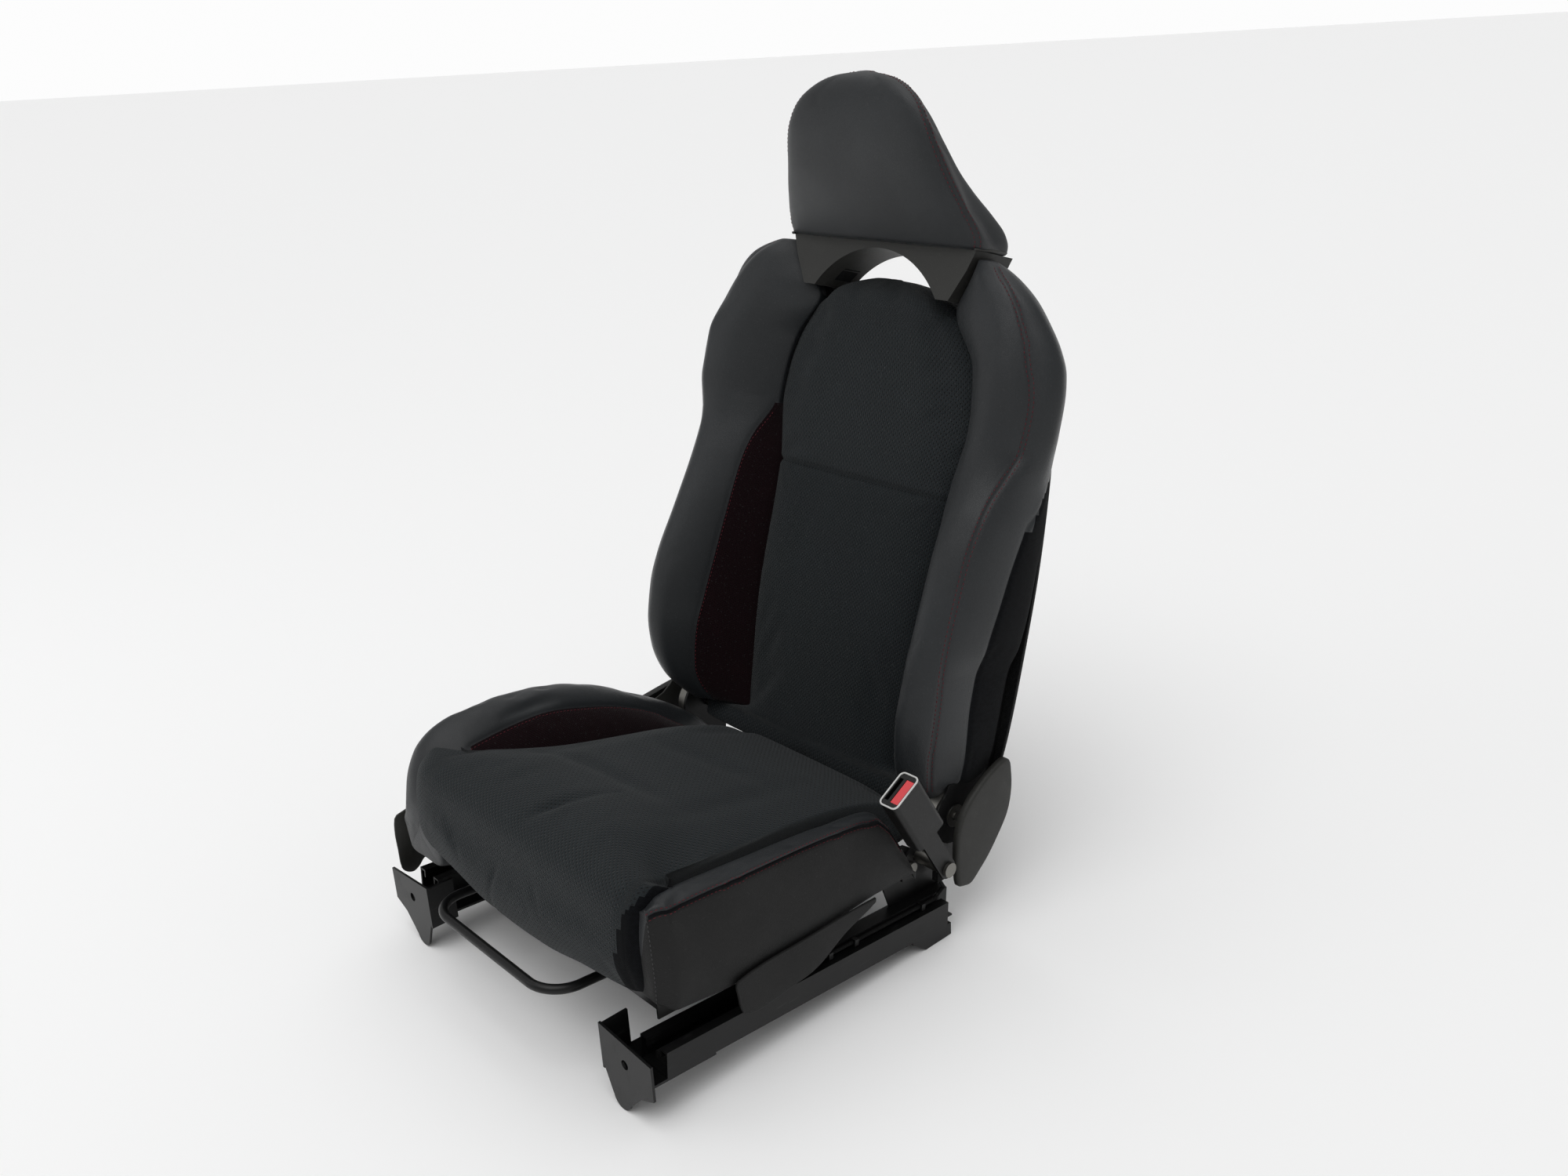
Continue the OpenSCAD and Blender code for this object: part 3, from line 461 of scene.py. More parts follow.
@dataclass(frozen=True)
class PlasticFinish(Finish):
    """Moulded plastic with a fine spark-eroded grain."""

    pebble: float = 0.0008
    coat: float = 0.0

    def dress(self, g: Graph, shader: bpy.types.Node) -> None:
        """Join grain, rubbing and dust."""
        where = self.place(g)
        grain = g.add("ShaderNodeGroup", node_tree=grain_group())
        g.tree.links.new(where, grain.inputs["Vector"])
        grain.inputs["Pebble"].default_value = self.pebble
        wear = g.add("ShaderNodeGroup", node_tree=wear_group())
        g.tree.links.new(where, wear.inputs["Vector"])
        base = g.blend(wear.outputs["Rubbed"], rgba(self.colour), rgba(self.colour, 1.35))
        base = g.blend(g.math("MULTIPLY", wear.outputs["Dust"], 0.5), base, rgba((0.09, 0.09, 0.085)))
        g.tree.links.new(base, shader.inputs["Base Color"])
        rough = g.math("SUBTRACT", self.rough, g.math("MULTIPLY", wear.outputs["Rubbed"], 0.15))
        g.tree.links.new(rough, shader.inputs["Roughness"])
        shader.inputs["Coat Weight"].default_value = self.coat
        self.raise_skin(g, shader, grain.outputs["Height"], 0.0003)


@dataclass(frozen=True)
class SteelFinish(Finish):
    """Painted, plated or bright steel."""

    metal: float = 1.0
    under: Colour = (0.30, 0.29, 0.28)
    worn: float = 0.35

    def dress(self, g: Graph, shader: bpy.types.Node) -> None:
        """Join scratches, rubbed patches and orange peel."""
        where = self.place(g)
        stretch = g.add("ShaderNodeMapping", {"Vector": where, "Scale": (40.0, 3.0, 40.0)})
        brushed = g.add("ShaderNodeTexNoise", {"Vector": stretch.outputs[0], "Scale": 8.0, "Detail": 5.0})
        peel = g.add("ShaderNodeTexNoise", {"Vector": where, "Scale": 900.0, "Detail": 1.0})
        wear = g.add("ShaderNodeGroup", node_tree=wear_group())
        g.tree.links.new(where, wear.inputs["Vector"])
        wear.inputs["Amount"].default_value = self.worn
        scratch = g.math("MULTIPLY", g.span(brushed.outputs[0], 0.62, 0.72), self.worn)
        base = g.blend(wear.outputs["Rubbed"], rgba(self.colour), rgba(self.colour, 1.5))
        base = g.blend(g.math("MULTIPLY", scratch, 0.5), base, rgba(self.under))
        g.tree.links.new(base, shader.inputs["Base Color"])
        rough = g.math("ADD", self.rough, g.math("MULTIPLY", wear.outputs["Rubbed"], 0.25))
        g.tree.links.new(rough, shader.inputs["Roughness"])
        shader.inputs["Metallic"].default_value = self.metal
        self.raise_skin(g, shader, peel.outputs[0], 0.0002)


@dataclass(frozen=True)
class ThreadFinish(Finish):
    """Twisted sewing thread."""

    def dress(self, g: Graph, shader: bpy.types.Node) -> None:
        """Join twist and tone."""
        where = self.place(g)
        twist = g.add("ShaderNodeTexNoise", {"Vector": where, "Scale": 1400.0, "Detail": 1.0})
        base = g.blend(twist.outputs[0], rgba(self.colour, 0.6), rgba(self.colour, 1.5))
        g.tree.links.new(base, shader.inputs["Base Color"])
        shader.inputs["Roughness"].default_value = self.rough
        self.raise_skin(g, shader, twist.outputs[0], 0.0002)


LEATHER = LeatherFinish("Charcoal Leather", (0.0125, 0.0143, 0.0160), 0.38, 0.35, 0.36)
SIDE_VINYL = LeatherFinish("Side Vinyl", (0.0085, 0.0085, 0.0085), 0.55, 0.4, 0.2, 0.0016)
KNIT = KnitFinish("Teal Black Knit", (0.0075, 0.0112, 0.0132), 0.75, 1.0, 0.25, 0.0056, 0.0064, 0.3,
    (0.0012, 0.0016, 0.0020))
FINE_KNIT = KnitFinish("Teal Black Fine Knit", (0.0062, 0.0095, 0.0112), 0.8, 1.0, 0.2, 0.0052, 0.0056,
    0.3, (0.0010, 0.0014, 0.0018))
BURGUNDY = KnitFinish("Burgundy Mesh", (0.0085, 0.0022, 0.0035), 0.9, 0.6, 0.08, 0.0034, 0.0034, 0.2,
    (0.002, 0.001, 0.001))
BLACK_CLOTH = ClothFinish("Black Cloth", (0.0030, 0.0034, 0.0042), 0.95, 0.5, 0.08)
CARPET = ClothFinish("Back Carpet", (0.0034, 0.0034, 0.0036), 0.98, 0.8, 0.08, 0.0032)
GREY_PLASTIC = PlasticFinish("Grey Grained Plastic", (0.028, 0.028, 0.026), 0.5, 0.3, 0.3)
DARK_PLASTIC = PlasticFinish("Dark Grained Plastic", (0.020, 0.020, 0.018), 0.5, 0.35, 0.3, 0.0011)
BLACK_PLASTIC = PlasticFinish("Black Plastic", (0.0035, 0.0035, 0.0035), 0.38, 0.2, 0.3)
RUBBER = PlasticFinish("Stop Rubber", (0.004, 0.004, 0.004), 0.8, 0.3, 0.15, 0.0006)
RED_PLASTIC = PlasticFinish("Red Button Plastic", (0.62, 0.020, 0.030), 0.3, 0.1, 0.5, 0.0006, 0.4)
CLEAR_RIM = PlasticFinish("Pale Rim Plastic", (0.55, 0.55, 0.54), 0.25, 0.08, 0.5, 0.0006, 0.5)
BLACK_STEEL = SteelFinish("Black Painted Steel", (0.0032, 0.0032, 0.0034), 0.36, 0.25, 0.28, 0.0,
    (0.06, 0.06, 0.06))
RAIL_STEEL = SteelFinish("Upper Rail Steel", (0.0060, 0.0060, 0.0062), 0.38, 0.25, 0.3, 0.2,
    (0.08, 0.08, 0.08))
PLATED = SteelFinish("Plated Steel", (0.20, 0.195, 0.18), 0.36, 0.2, 0.5, 1.0)
SPRING = SteelFinish("Spring Wire", (0.02, 0.02, 0.02), 0.4, 0.2, 0.4, 0.8, (0.1, 0.1, 0.1))
CHROME = SteelFinish("Post Chrome", (0.55, 0.55, 0.56), 0.12, 0.05, 0.5, 1.0, (0.5, 0.5, 0.5), 0.1)
RED_THREAD = ThreadFinish("Dark Red Thread", (0.085, 0.012, 0.018), 0.6, 0.3, 0.2)
GREY_THREAD = ThreadFinish("Grey Thread", (0.05, 0.05, 0.052), 0.6, 0.3, 0.2)


# ---- meshes ----


def new_object(name: str, mesh: bpy.types.Mesh, finishes: Sequence[Finish]) -> bpy.types.Object:
    """Link a mesh to the scene with its finishes.

    Args:
        name: the piece's name.
        mesh: its mesh.
        finishes: its finishes, in the order of its material slots.

    Returns:
        The new object.
    """
    obj = bpy.data.objects.new(name, mesh)
    bpy.context.scene.collection.objects.link(obj)
    for finish in finishes:
        mesh.materials.append(finish.material())
    return obj


def smooth(mesh: bpy.types.Mesh) -> None:
    """Shade every face smooth."""
    mesh.polygons.foreach_set("use_smooth", [True] * len(mesh.polygons))


def tidy(mesh: bpy.types.Mesh, gap: float = 1e-6) -> None:
    """Merge doubled points and turn every face outwards."""
    bm = bmesh.new()
    bm.from_mesh(mesh)
    bmesh.ops.remove_doubles(bm, verts=bm.verts, dist=gap)
    bmesh.ops.recalc_face_normals(bm, faces=bm.faces)
    bm.to_mesh(mesh)
    bm.free()
    mesh.update()


@dataclass
class SoftForm:
    """A closed upholstered form, lofted through rings and then filled."""

    name: str
    rings: Points
    finishes: tuple[Finish, ...]
    zones: Points | None = None
    dome: float = 0.004
    seam_columns: tuple[int, ...] = ()
    seam_rings: tuple[int, ...] = ()
    swell: float = 0.006
    pressure: float = 4.0
    obj: bpy.types.Object | None = field(default=None, init=False)
    skin: Points | None = field(default=None, init=False)
    lead: int = field(default=len(END_SHRINK), init=False)

    def build(self) -> bpy.types.Object:
        """Loft the form, fill it with a cloth simulation and smooth it.

        Returns:
            The finished object.
        """
        rings = self.rings
        m, n = rings.shape[:2]
        zones = self.zones if self.zones is not None else np.zeros((m, n), int)
        first, last = rings[0].mean(0), rings[-1].mean(0)
        out_a = first - rings[1].mean(0)
        out_b = last - rings[-2].mean(0)
        out_a = out_a / max(np.linalg.norm(out_a), 1e-9)
        out_b = out_b / max(np.linalg.norm(out_b), 1e-9)
        start = [first + (rings[0] - first) * k + out_a * self.dome * (1 - k * k) for k in END_SHRINK]
        end = [last + (rings[-1] - last) * k + out_b * self.dome * (1 - k * k) for k in END_SHRINK[::-1]]
        full = np.concatenate([np.array(start), rings, np.array(end)])
        zone = np.concatenate([np.repeat(zones[:1], 3, 0), zones, np.repeat(zones[-1:], 3, 0)])
        total = len(full)
        verts = np.concatenate([full.reshape(-1, 3), [first + out_a * self.dome], [last + out_b * self.dome]])
        around = np.linalg.norm(np.roll(rings, -1, axis=1) - rings, axis=2).mean(0)
        u = np.concatenate([[0.0], np.cumsum(around)])
        along = np.linalg.norm(np.diff(full, axis=0), axis=2).mean(1)
        v = np.concatenate([[0.0], np.cumsum(along)])
        faces, uvs, marks = [], [], []
        for i in range(total - 1):
            for j in range(n):
                k = (j + 1) % n
                faces.append((i * n + j, i * n + k, (i + 1) * n + k, (i + 1) * n + j))
                uvs += [(u[j], v[i]), (u[j + 1], v[i]), (u[j + 1], v[i + 1]), (u[j], v[i + 1])]
                marks.append(int(zone[i, j]))
        for pole, row, flip in ((total * n, 0, True), (total * n + 1, total - 1, False)):
            for j in range(n):
                k = (j + 1) % n
                tri = (pole, row * n + k, row * n + j) if flip else (pole, row * n + j, row * n + k)
                faces.append(tri)
                edge = [(u[j + 1], v[row]), (u[j], v[row])] if flip else [(u[j], v[row]), (u[j + 1], v[row])]
                uvs += [(u[j], v[row])] + edge
                marks.append(int(zone[row, j]))
        mesh = bpy.data.meshes.new(self.name)
        mesh.from_pydata(verts.tolist(), [], faces)
        layer = mesh.uv_layers.new(name="Cut")
        layer.data.foreach_set("uv", np.asarray(uvs, np.float32).ravel())
        mesh.polygons.foreach_set("material_index", marks)
        mesh.validate()
        bm = bmesh.new()
        bm.from_mesh(mesh)
        bmesh.ops.recalc_face_normals(bm, faces=bm.faces)
        bm.to_mesh(mesh)
        bm.free()
        self.obj = new_object(self.name, mesh, self.finishes)
        held = [(i + self.lead) * n + j for j in self.seam_columns for i in range(-3, m + 3)]
        held += [(i + self.lead) * n + j for i in self.seam_rings for j in range(n)]
        self.fill(held, len(verts))
        co = np.empty(len(verts) * 3)
        self.obj.data.vertices.foreach_get("co", co)
        self.skin = co.reshape(-1, 3)[: total * n].reshape(total, n, 3)
        self.refine()
        return self.obj

    def fill(self, held: Sequence[int], count: int) -> None:
        """Swell the cover between its seams with a cloth simulation, moving no point beyond the limit."""
        if self.swell <= 0:
            return
        obj = self.obj
        rest = np.empty(count * 3)
        obj.data.vertices.foreach_get("co", rest)
        rest = rest.reshape(-1, 3)
        seams = obj.vertex_groups.new(name="seams")
        seams.add([int(k) for k in set(held) if 0 <= k < count], 1.0, "REPLACE")
        cloth = obj.modifiers.new("Fill", "CLOTH")
        cloth.settings.quality = 4
        cloth.settings.mass = 0.35
        cloth.settings.tension_stiffness = 12
        cloth.settings.compression_stiffness = 12
        cloth.settings.shear_stiffness = 6
        cloth.settings.bending_stiffness = 0.4
        cloth.settings.use_pressure = True
        cloth.settings.uniform_pressure_force = self.pressure
        cloth.settings.vertex_group_mass = "seams"
        cloth.settings.effector_weights.gravity = 0
        cloth.collision_settings.use_collision = False
        scene = bpy.context.scene
        for number in range(1, FILL_FRAMES + 1):
            scene.frame_set(number)
        shape = obj.evaluated_get(bpy.context.evaluated_depsgraph_get()).data
        moved = np.empty(count * 3)
        shape.vertices.foreach_get("co", moved)
        delta = moved.reshape(-1, 3) - rest
        length = np.linalg.norm(delta, axis=1, keepdims=True)
        delta *= self.swell * np.tanh(length / self.swell) / np.maximum(length, 1e-9)
        obj.modifiers.remove(cloth)
        scene.frame_set(1)
        obj.vertex_groups.remove(obj.vertex_groups["seams"])
        obj.data.vertices.foreach_set("co", (rest + delta).ravel())
        obj.data.update()

    def refine(self) -> None:
        """Subdivide once and shade smooth."""
        obj = self.obj
        rounder = obj.modifiers.new("Round", "SUBSURF")
        rounder.levels = rounder.render_levels = 1
        made = bpy.data.meshes.new_from_object(obj.evaluated_get(bpy.context.evaluated_depsgraph_get()))
        obj.modifiers.remove(rounder)
        old = obj.data
        obj.data = made
        bpy.data.meshes.remove(old)
        made.name = self.name
        smooth(made)

    def column(self, j: int, first: int = 0, last: int | None = None) -> Points:
        """The filled skin's points down one column, ring first to ring last."""
        stop = len(self.skin) - self.lead if last is None else last + self.lead + 1
        return self.skin[first + self.lead : stop, j % self.skin.shape[1]]

    def row(self, i: int, first: int, last: int) -> Points:
        """The filled skin's points along one ring, column first to column last."""
        n = self.skin.shape[1]
        return self.skin[i + self.lead, [j % n for j in range(first, last + 1)]]


def dent(obj: bpy.types.Object, path: Points, width: float, depth: float, fade: float = 0.0) -> None:
    """Press a groove into a soft piece.

    Args:
        obj: the piece.
        path: the groove's line.
        width: how far from the line the groove fades, in metres.
        depth: its depth, in metres; below zero it is a ridge.
        fade: the share of the line over which each end runs out.
    """
    fine = even(path, width * 0.3)
    t = np.linspace(0, 1, len(fine))
    gain = np.ones(len(fine)) if fade <= 0 else np.clip(np.minimum(t, 1 - t) / fade, 0, 1)
    mesh = obj.data
    count = len(mesh.vertices)
    co = np.empty(count * 3)
    mesh.vertices.foreach_get("co", co)
    co = co.reshape(-1, 3)
    no = np.array([v.normal for v in mesh.vertices])
    lo, hi = fine.min(0) - 3 * width, fine.max(0) + 3 * width
    near = np.nonzero(((co > lo) & (co < hi)).all(1))[0]
    for chunk in np.array_split(near, max(1, len(near) // 2000)):
        if not len(chunk):
            continue
        gap = np.linalg.norm(co[chunk][:, None, :] - fine[None], axis=2)
        k = gap.argmin(1)
        push = depth * gain[k] * np.exp(-((gap[np.arange(len(chunk)), k] / width) ** 2))
        co[chunk] -= no[chunk] * push[:, None]
    mesh.vertices.foreach_set("co", co.ravel())
    mesh.update()


def settle(obj: bpy.types.Object, path: Points, lift: float) -> tuple[Points, Points]:
    """Lay a path on a piece's skin.

    Args:
        obj: the piece.
        path: the path, near the skin.
        lift: how far above the skin it lies.

    Returns:
        The path's points, and the skin's normals there.
    """
    mesh = obj.data
    tree = BVHTree.FromPolygons([v.co for v in mesh.vertices], [tuple(p.vertices) for p in mesh.polygons])
    spots, ups = [], []
    for point in path:
        hit, normal, _index, _gap = tree.find_nearest(Vector(point))
        spots.append(hit + normal * lift)
        ups.append(normal)
    return np.array(spots), np.array(ups)


def tube(
    name: str, path: Points, radius: float, finish: Finish, sides: int = 10, closed: bool = False
) -> bpy.types.Object:
    """A round cord, wire or piping along a path.

    Args:
        name: the piece's name.
        path: its centre line.
        radius: its radius.
        finish: its finish.
        sides: faces round it.
        closed: whether it meets itself.

    Returns:
        The new object.
    """
    p = np.asarray(path, float)
    n = len(p)
    t = np.roll(p, -1, 0) - np.roll(p, 1, 0) if closed else np.gradient(p, axis=0)
    t /= np.maximum(np.linalg.norm(t, axis=1, keepdims=True), 1e-12)
    ref = np.array([0.0, 0.0, 1.0]) if abs(t[0][2]) < 0.9 else np.array([1.0, 0.0, 0.0])
    a = np.cross(t[0], ref)
    verts, faces, uvs = [], [], []
    for i in range(n):
        a = a - t[i] * (a @ t[i])
        a /= max(np.linalg.norm(a), 1e-12)
        b = np.cross(t[i], a)
        for k in range(sides):
            w = math.tau * k / sides
            verts.append(p[i] + radius * (a * math.cos(w) + b * math.sin(w)))
    for i in range(n if closed else n - 1):
        for k in range(sides):
            j, m = (k + 1) % sides, (i + 1) % n
            faces.append((i * sides + k, i * sides + j, m * sides + j, m * sides + k))
            uvs += [(k * 0.001, i * 0.001)] * 4
    if not closed:
        faces.append(tuple(range(sides))[::-1])
        faces.append(tuple((n - 1) * sides + k for k in range(sides)))
        uvs += [(0.0, 0.0)] * (2 * sides)
    mesh = bpy.data.meshes.new(name)
    mesh.from_pydata([tuple(v) for v in verts], [], faces)
    mesh.uv_layers.new(name="Cut").data.foreach_set("uv", np.asarray(uvs, np.float32).ravel())
    tidy(mesh)
    smooth(mesh)
    return new_object(name, mesh, [finish])


def inset(outline: Points, gap: float) -> Points:
    """Move a closed outline inwards by a gap, its corners mitred."""
    area = np.sum(outline[:, 0] * np.roll(outline[:, 1], -1) - np.roll(outline[:, 0], -1) * outline[:, 1])
    way = np.roll(outline, -1, axis=0) - outline
    way /= np.maximum(np.linalg.norm(way, axis=1, keepdims=True), 1e-12)
    turn = 1.0 if area > 0 else -1.0
    side = np.column_stack([-way[:, 1], way[:, 0]]) * turn
    both = side + np.roll(side, 1, axis=0)
    both /= np.maximum(np.linalg.norm(both, axis=1, keepdims=True), 1e-12)
    reach = 1 / np.clip((both * side).sum(1, keepdims=True), 0.7, 1.0)
    return outline + both * reach * gap


def moulding(
    name: str,
    outline: Points,
    x0: float,
    x1: float,
    finish: Finish,
    edge: float = 0.0025,
    crown: float = 0.0,
    to_row: Callable[[Points], Points] | None = None,
) -> bpy.types.Object:
    """A moulded plate with a rounded edge, cut from an outline and lying between two X planes.

    Args:
        name: the piece's name.
        outline: its outline in Y and Z, metres.
        x0: the X of its plain side.
        x1: the X of its rounded side.
        finish: its finish.
        edge: the radius of its edge.
        crown: how much its middle stands proud.
        to_row: a last move of its points, such as into the row frame.

    Returns:
        The new object.
    """
    sign = math.copysign(1.0, x1 - x0)
    n = len(outline)
    rings = [(inset(outline, 0.0006), x0), (outline, x0 + 0.0006 * sign), (outline, x1 - edge * sign)]
    for turn in (20, 40, 60, 75, 90):
        w = math.radians(turn)
        rings.append((inset(outline, edge * (1 - math.cos(w))), x1 - sign * edge * (1 - math.sin(w))))
    if crown:
        last = rings[-1][0]
        middle = last.mean(0)
        for k in (0.85, 0.65, 0.45, 0.2):
            rings.append((middle + (last - middle) * k, x1 + sign * crown * (1 - k * k)))
    verts = [(x, p[0], p[1]) for ring, x in rings for p in ring]
    faces = [
        (a * n + i, a * n + (i + 1) % n, (a + 1) * n + (i + 1) % n, (a + 1) * n + i)
        for a in range(len(rings) - 1) for i in range(n)
    ]
    faces += [tuple(range(n))[::-1], tuple(range((len(rings) - 1) * n, len(rings) * n))]
    mesh = bpy.data.meshes.new(name)
    mesh.from_pydata(verts, [], faces)
    bm = bmesh.new()
    bm.from_mesh(mesh)
    bmesh.ops.triangulate(bm, faces=[f for f in bm.faces if len(f.verts) > 4])
    uv = bm.loops.layers.uv.new("Cut")
    for f in bm.faces:
        for loop in f.loops:
            loop[uv].uv = (loop.vert.co.y + loop.vert.co.x, loop.vert.co.z)
    bm.to_mesh(mesh)
    bm.free()
    if to_row:
        co = np.array([v.co for v in mesh.vertices])
        mesh.vertices.foreach_set("co", to_row(co).ravel())
    tidy(mesh)
    smooth(mesh)
    obj = new_object(name, mesh, [finish])
    sharp = obj.modifiers.new("Sharp Corners", "EDGE_SPLIT")
    sharp.split_angle = math.radians(50)
    return obj


# ---- stitches ----


@dataclass(frozen=True)
class StitchRun:
    """A line of stitches laid on a skin by a Geometry Nodes tree."""

    pitch: float = 0.0052
    length: float = 0.0036
    thread: float = 0.00055
    finish: Finish = RED_THREAD

    def tree(self) -> bpy.types.NodeTree:
        """The stitch tree: one lens-shaped stitch on each point, turned along the seam."""
        name = f"Stitches {self.finish.name} {self.length * 1e4:.0f}"
        found = bpy.data.node_groups.get(name)
        if found:
            return found
        tree = bpy.data.node_groups.new(name, "GeometryNodeTree")
        face = tree.interface
        face.new_socket(name="Points", in_out="INPUT", socket_type="NodeSocketGeometry")
        sizes = (("Stitch Length", self.length), ("Thread Radius", self.thread), ("Unevenness", 0.12))
        for label, value in sizes:
            face.new_socket(name=label, in_out="INPUT", socket_type="NodeSocketFloat").default_value = value
        face.new_socket(name="Seed", in_out="INPUT", socket_type="NodeSocketInt").default_value = 7
        face.new_socket(name="Stitches", in_out="OUTPUT", socket_type="NodeSocketGeometry")
        g = Graph(tree)
        i, o = g.add("NodeGroupInput"), g.add("NodeGroupOutput")
        ball = g.add("GeometryNodeMeshUVSphere", {"Segments": 6, "Rings": 4, "Radius": 1.0})
        half = g.math("MULTIPLY", i.outputs["Stitch Length"], 0.5)
        thick = i.outputs["Thread Radius"]
        size = g.add("ShaderNodeCombineXYZ", {0: half, 1: thick, 2: thick})
        lens = g.add("GeometryNodeTransform", {"Geometry": ball.outputs[0], "Scale": size.outputs[0]})
        along = g.add("GeometryNodeInputNamedAttribute", {"Name": "along"}, data_type="FLOAT_VECTOR")
        up = g.add("GeometryNodeInputNamedAttribute", {"Name": "up"}, data_type="FLOAT_VECTOR")
        turn = g.add("FunctionNodeAlignRotationToVector", {"Vector": along.outputs[0]}, axis="X")
        both = g.add(
            "FunctionNodeAlignRotationToVector", {"Rotation": turn.outputs[0], "Vector": up.outputs[0]},
            axis="Z", pivot_axis="X"
        )
        jitter = g.add("FunctionNodeRandomValue", {"Seed": i.outputs["Seed"]}, data_type="FLOAT")
        low = g.math("SUBTRACT", 1.0, i.outputs["Unevenness"])
        g.tree.links.new(low, jitter.inputs[2])
        jitter.inputs[3].default_value = 1.0
        place = g.add(
            "GeometryNodeInstanceOnPoints",
            {
                "Points": i.outputs["Points"], "Instance": lens.outputs[0],
                "Rotation": both.outputs[0], "Scale": jitter.outputs[1],
            },
        )
        real = g.add("GeometryNodeRealizeInstances", {0: place.outputs[0]})
        thread = self.finish.material()
        coat = g.add("GeometryNodeSetMaterial", {"Geometry": real.outputs[0], "Material": thread})
        g.tree.links.new(coat.outputs[0], o.inputs[0])
        return tree

    def lay(
        self, name: str, skin: bpy.types.Object, paths: Iterable[Points], body: Body, drop: float = 0.0002
    ) -> bpy.types.Object:
        """Sew along paths on a skin.

        Args:
            name: the piece's name.
            skin: the piece that is sewn.
            paths: the seams' lines.
            body: the body that the stitches ride on.
            drop: how far a stitch sinks into the skin.

        Returns:
            The stitches as one mesh.
        """
        spots, ways, ups = [], [], []
        for path in paths:
            p, n = settle(skin, even(path, self.pitch), self.thread * 0.6 - drop)
            if len(p) < 3:
                continue
            spots.append(p)
            ways.append(np.gradient(p, axis=0))
            ups.append(n)
        co, way, up = (np.concatenate(x) for x in (spots, ways, ups))
        mesh = bpy.data.meshes.new(name)
        mesh.from_pydata([tuple(c) for c in co], [], [])
        for label, values in (("along", way), ("up", up)):
            layer = mesh.attributes.new(label, "FLOAT_VECTOR", "POINT")
            layer.data.foreach_set("vector", np.asarray(values, np.float32).ravel())
        obj = new_object(name, mesh, [])
        sew = obj.modifiers.new("Sew", "NODES")
        sew.node_group = self.tree()
        keys = {s.name: s.identifier for s in sew.node_group.interface.items_tree if s.in_out == "INPUT"}
        sew[keys["Stitch Length"]] = self.length
        sew[keys["Thread Radius"]] = self.thread
        made = bpy.data.meshes.new_from_object(obj.evaluated_get(bpy.context.evaluated_depsgraph_get()))
        obj.modifiers.remove(sew)
        obj.data = made
        bpy.data.meshes.remove(mesh)
        made.name = name
        smooth(made)
        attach(obj, body.value)
        log.info("%s: %d stitches", name, len(co))
        return obj


def beside(path: Points, normals: Points, gap: float) -> Points:
    """A line that runs beside a path at a set gap, on the skin whose normals are given."""
    way = np.gradient(path, axis=0)
    side = np.cross(way, normals)
    side /= np.maximum(np.linalg.norm(side, axis=1, keepdims=True), 1e-12)
    return path + side * gap


def sew_seam(
    name: str, skin: bpy.types.Object, path: Points, body: Body, run: StitchRun,
    gaps: Sequence[float] = (-0.0035, 0.0035)
) -> bpy.types.Object:
    """Top-stitch a seam on one side of its line or on both."""
    p, n = settle(skin, even(path, 0.006), 0.0)
    return run.lay(name, skin, [beside(p, n, gap) for gap in gaps], body)


# ---- backrest ----


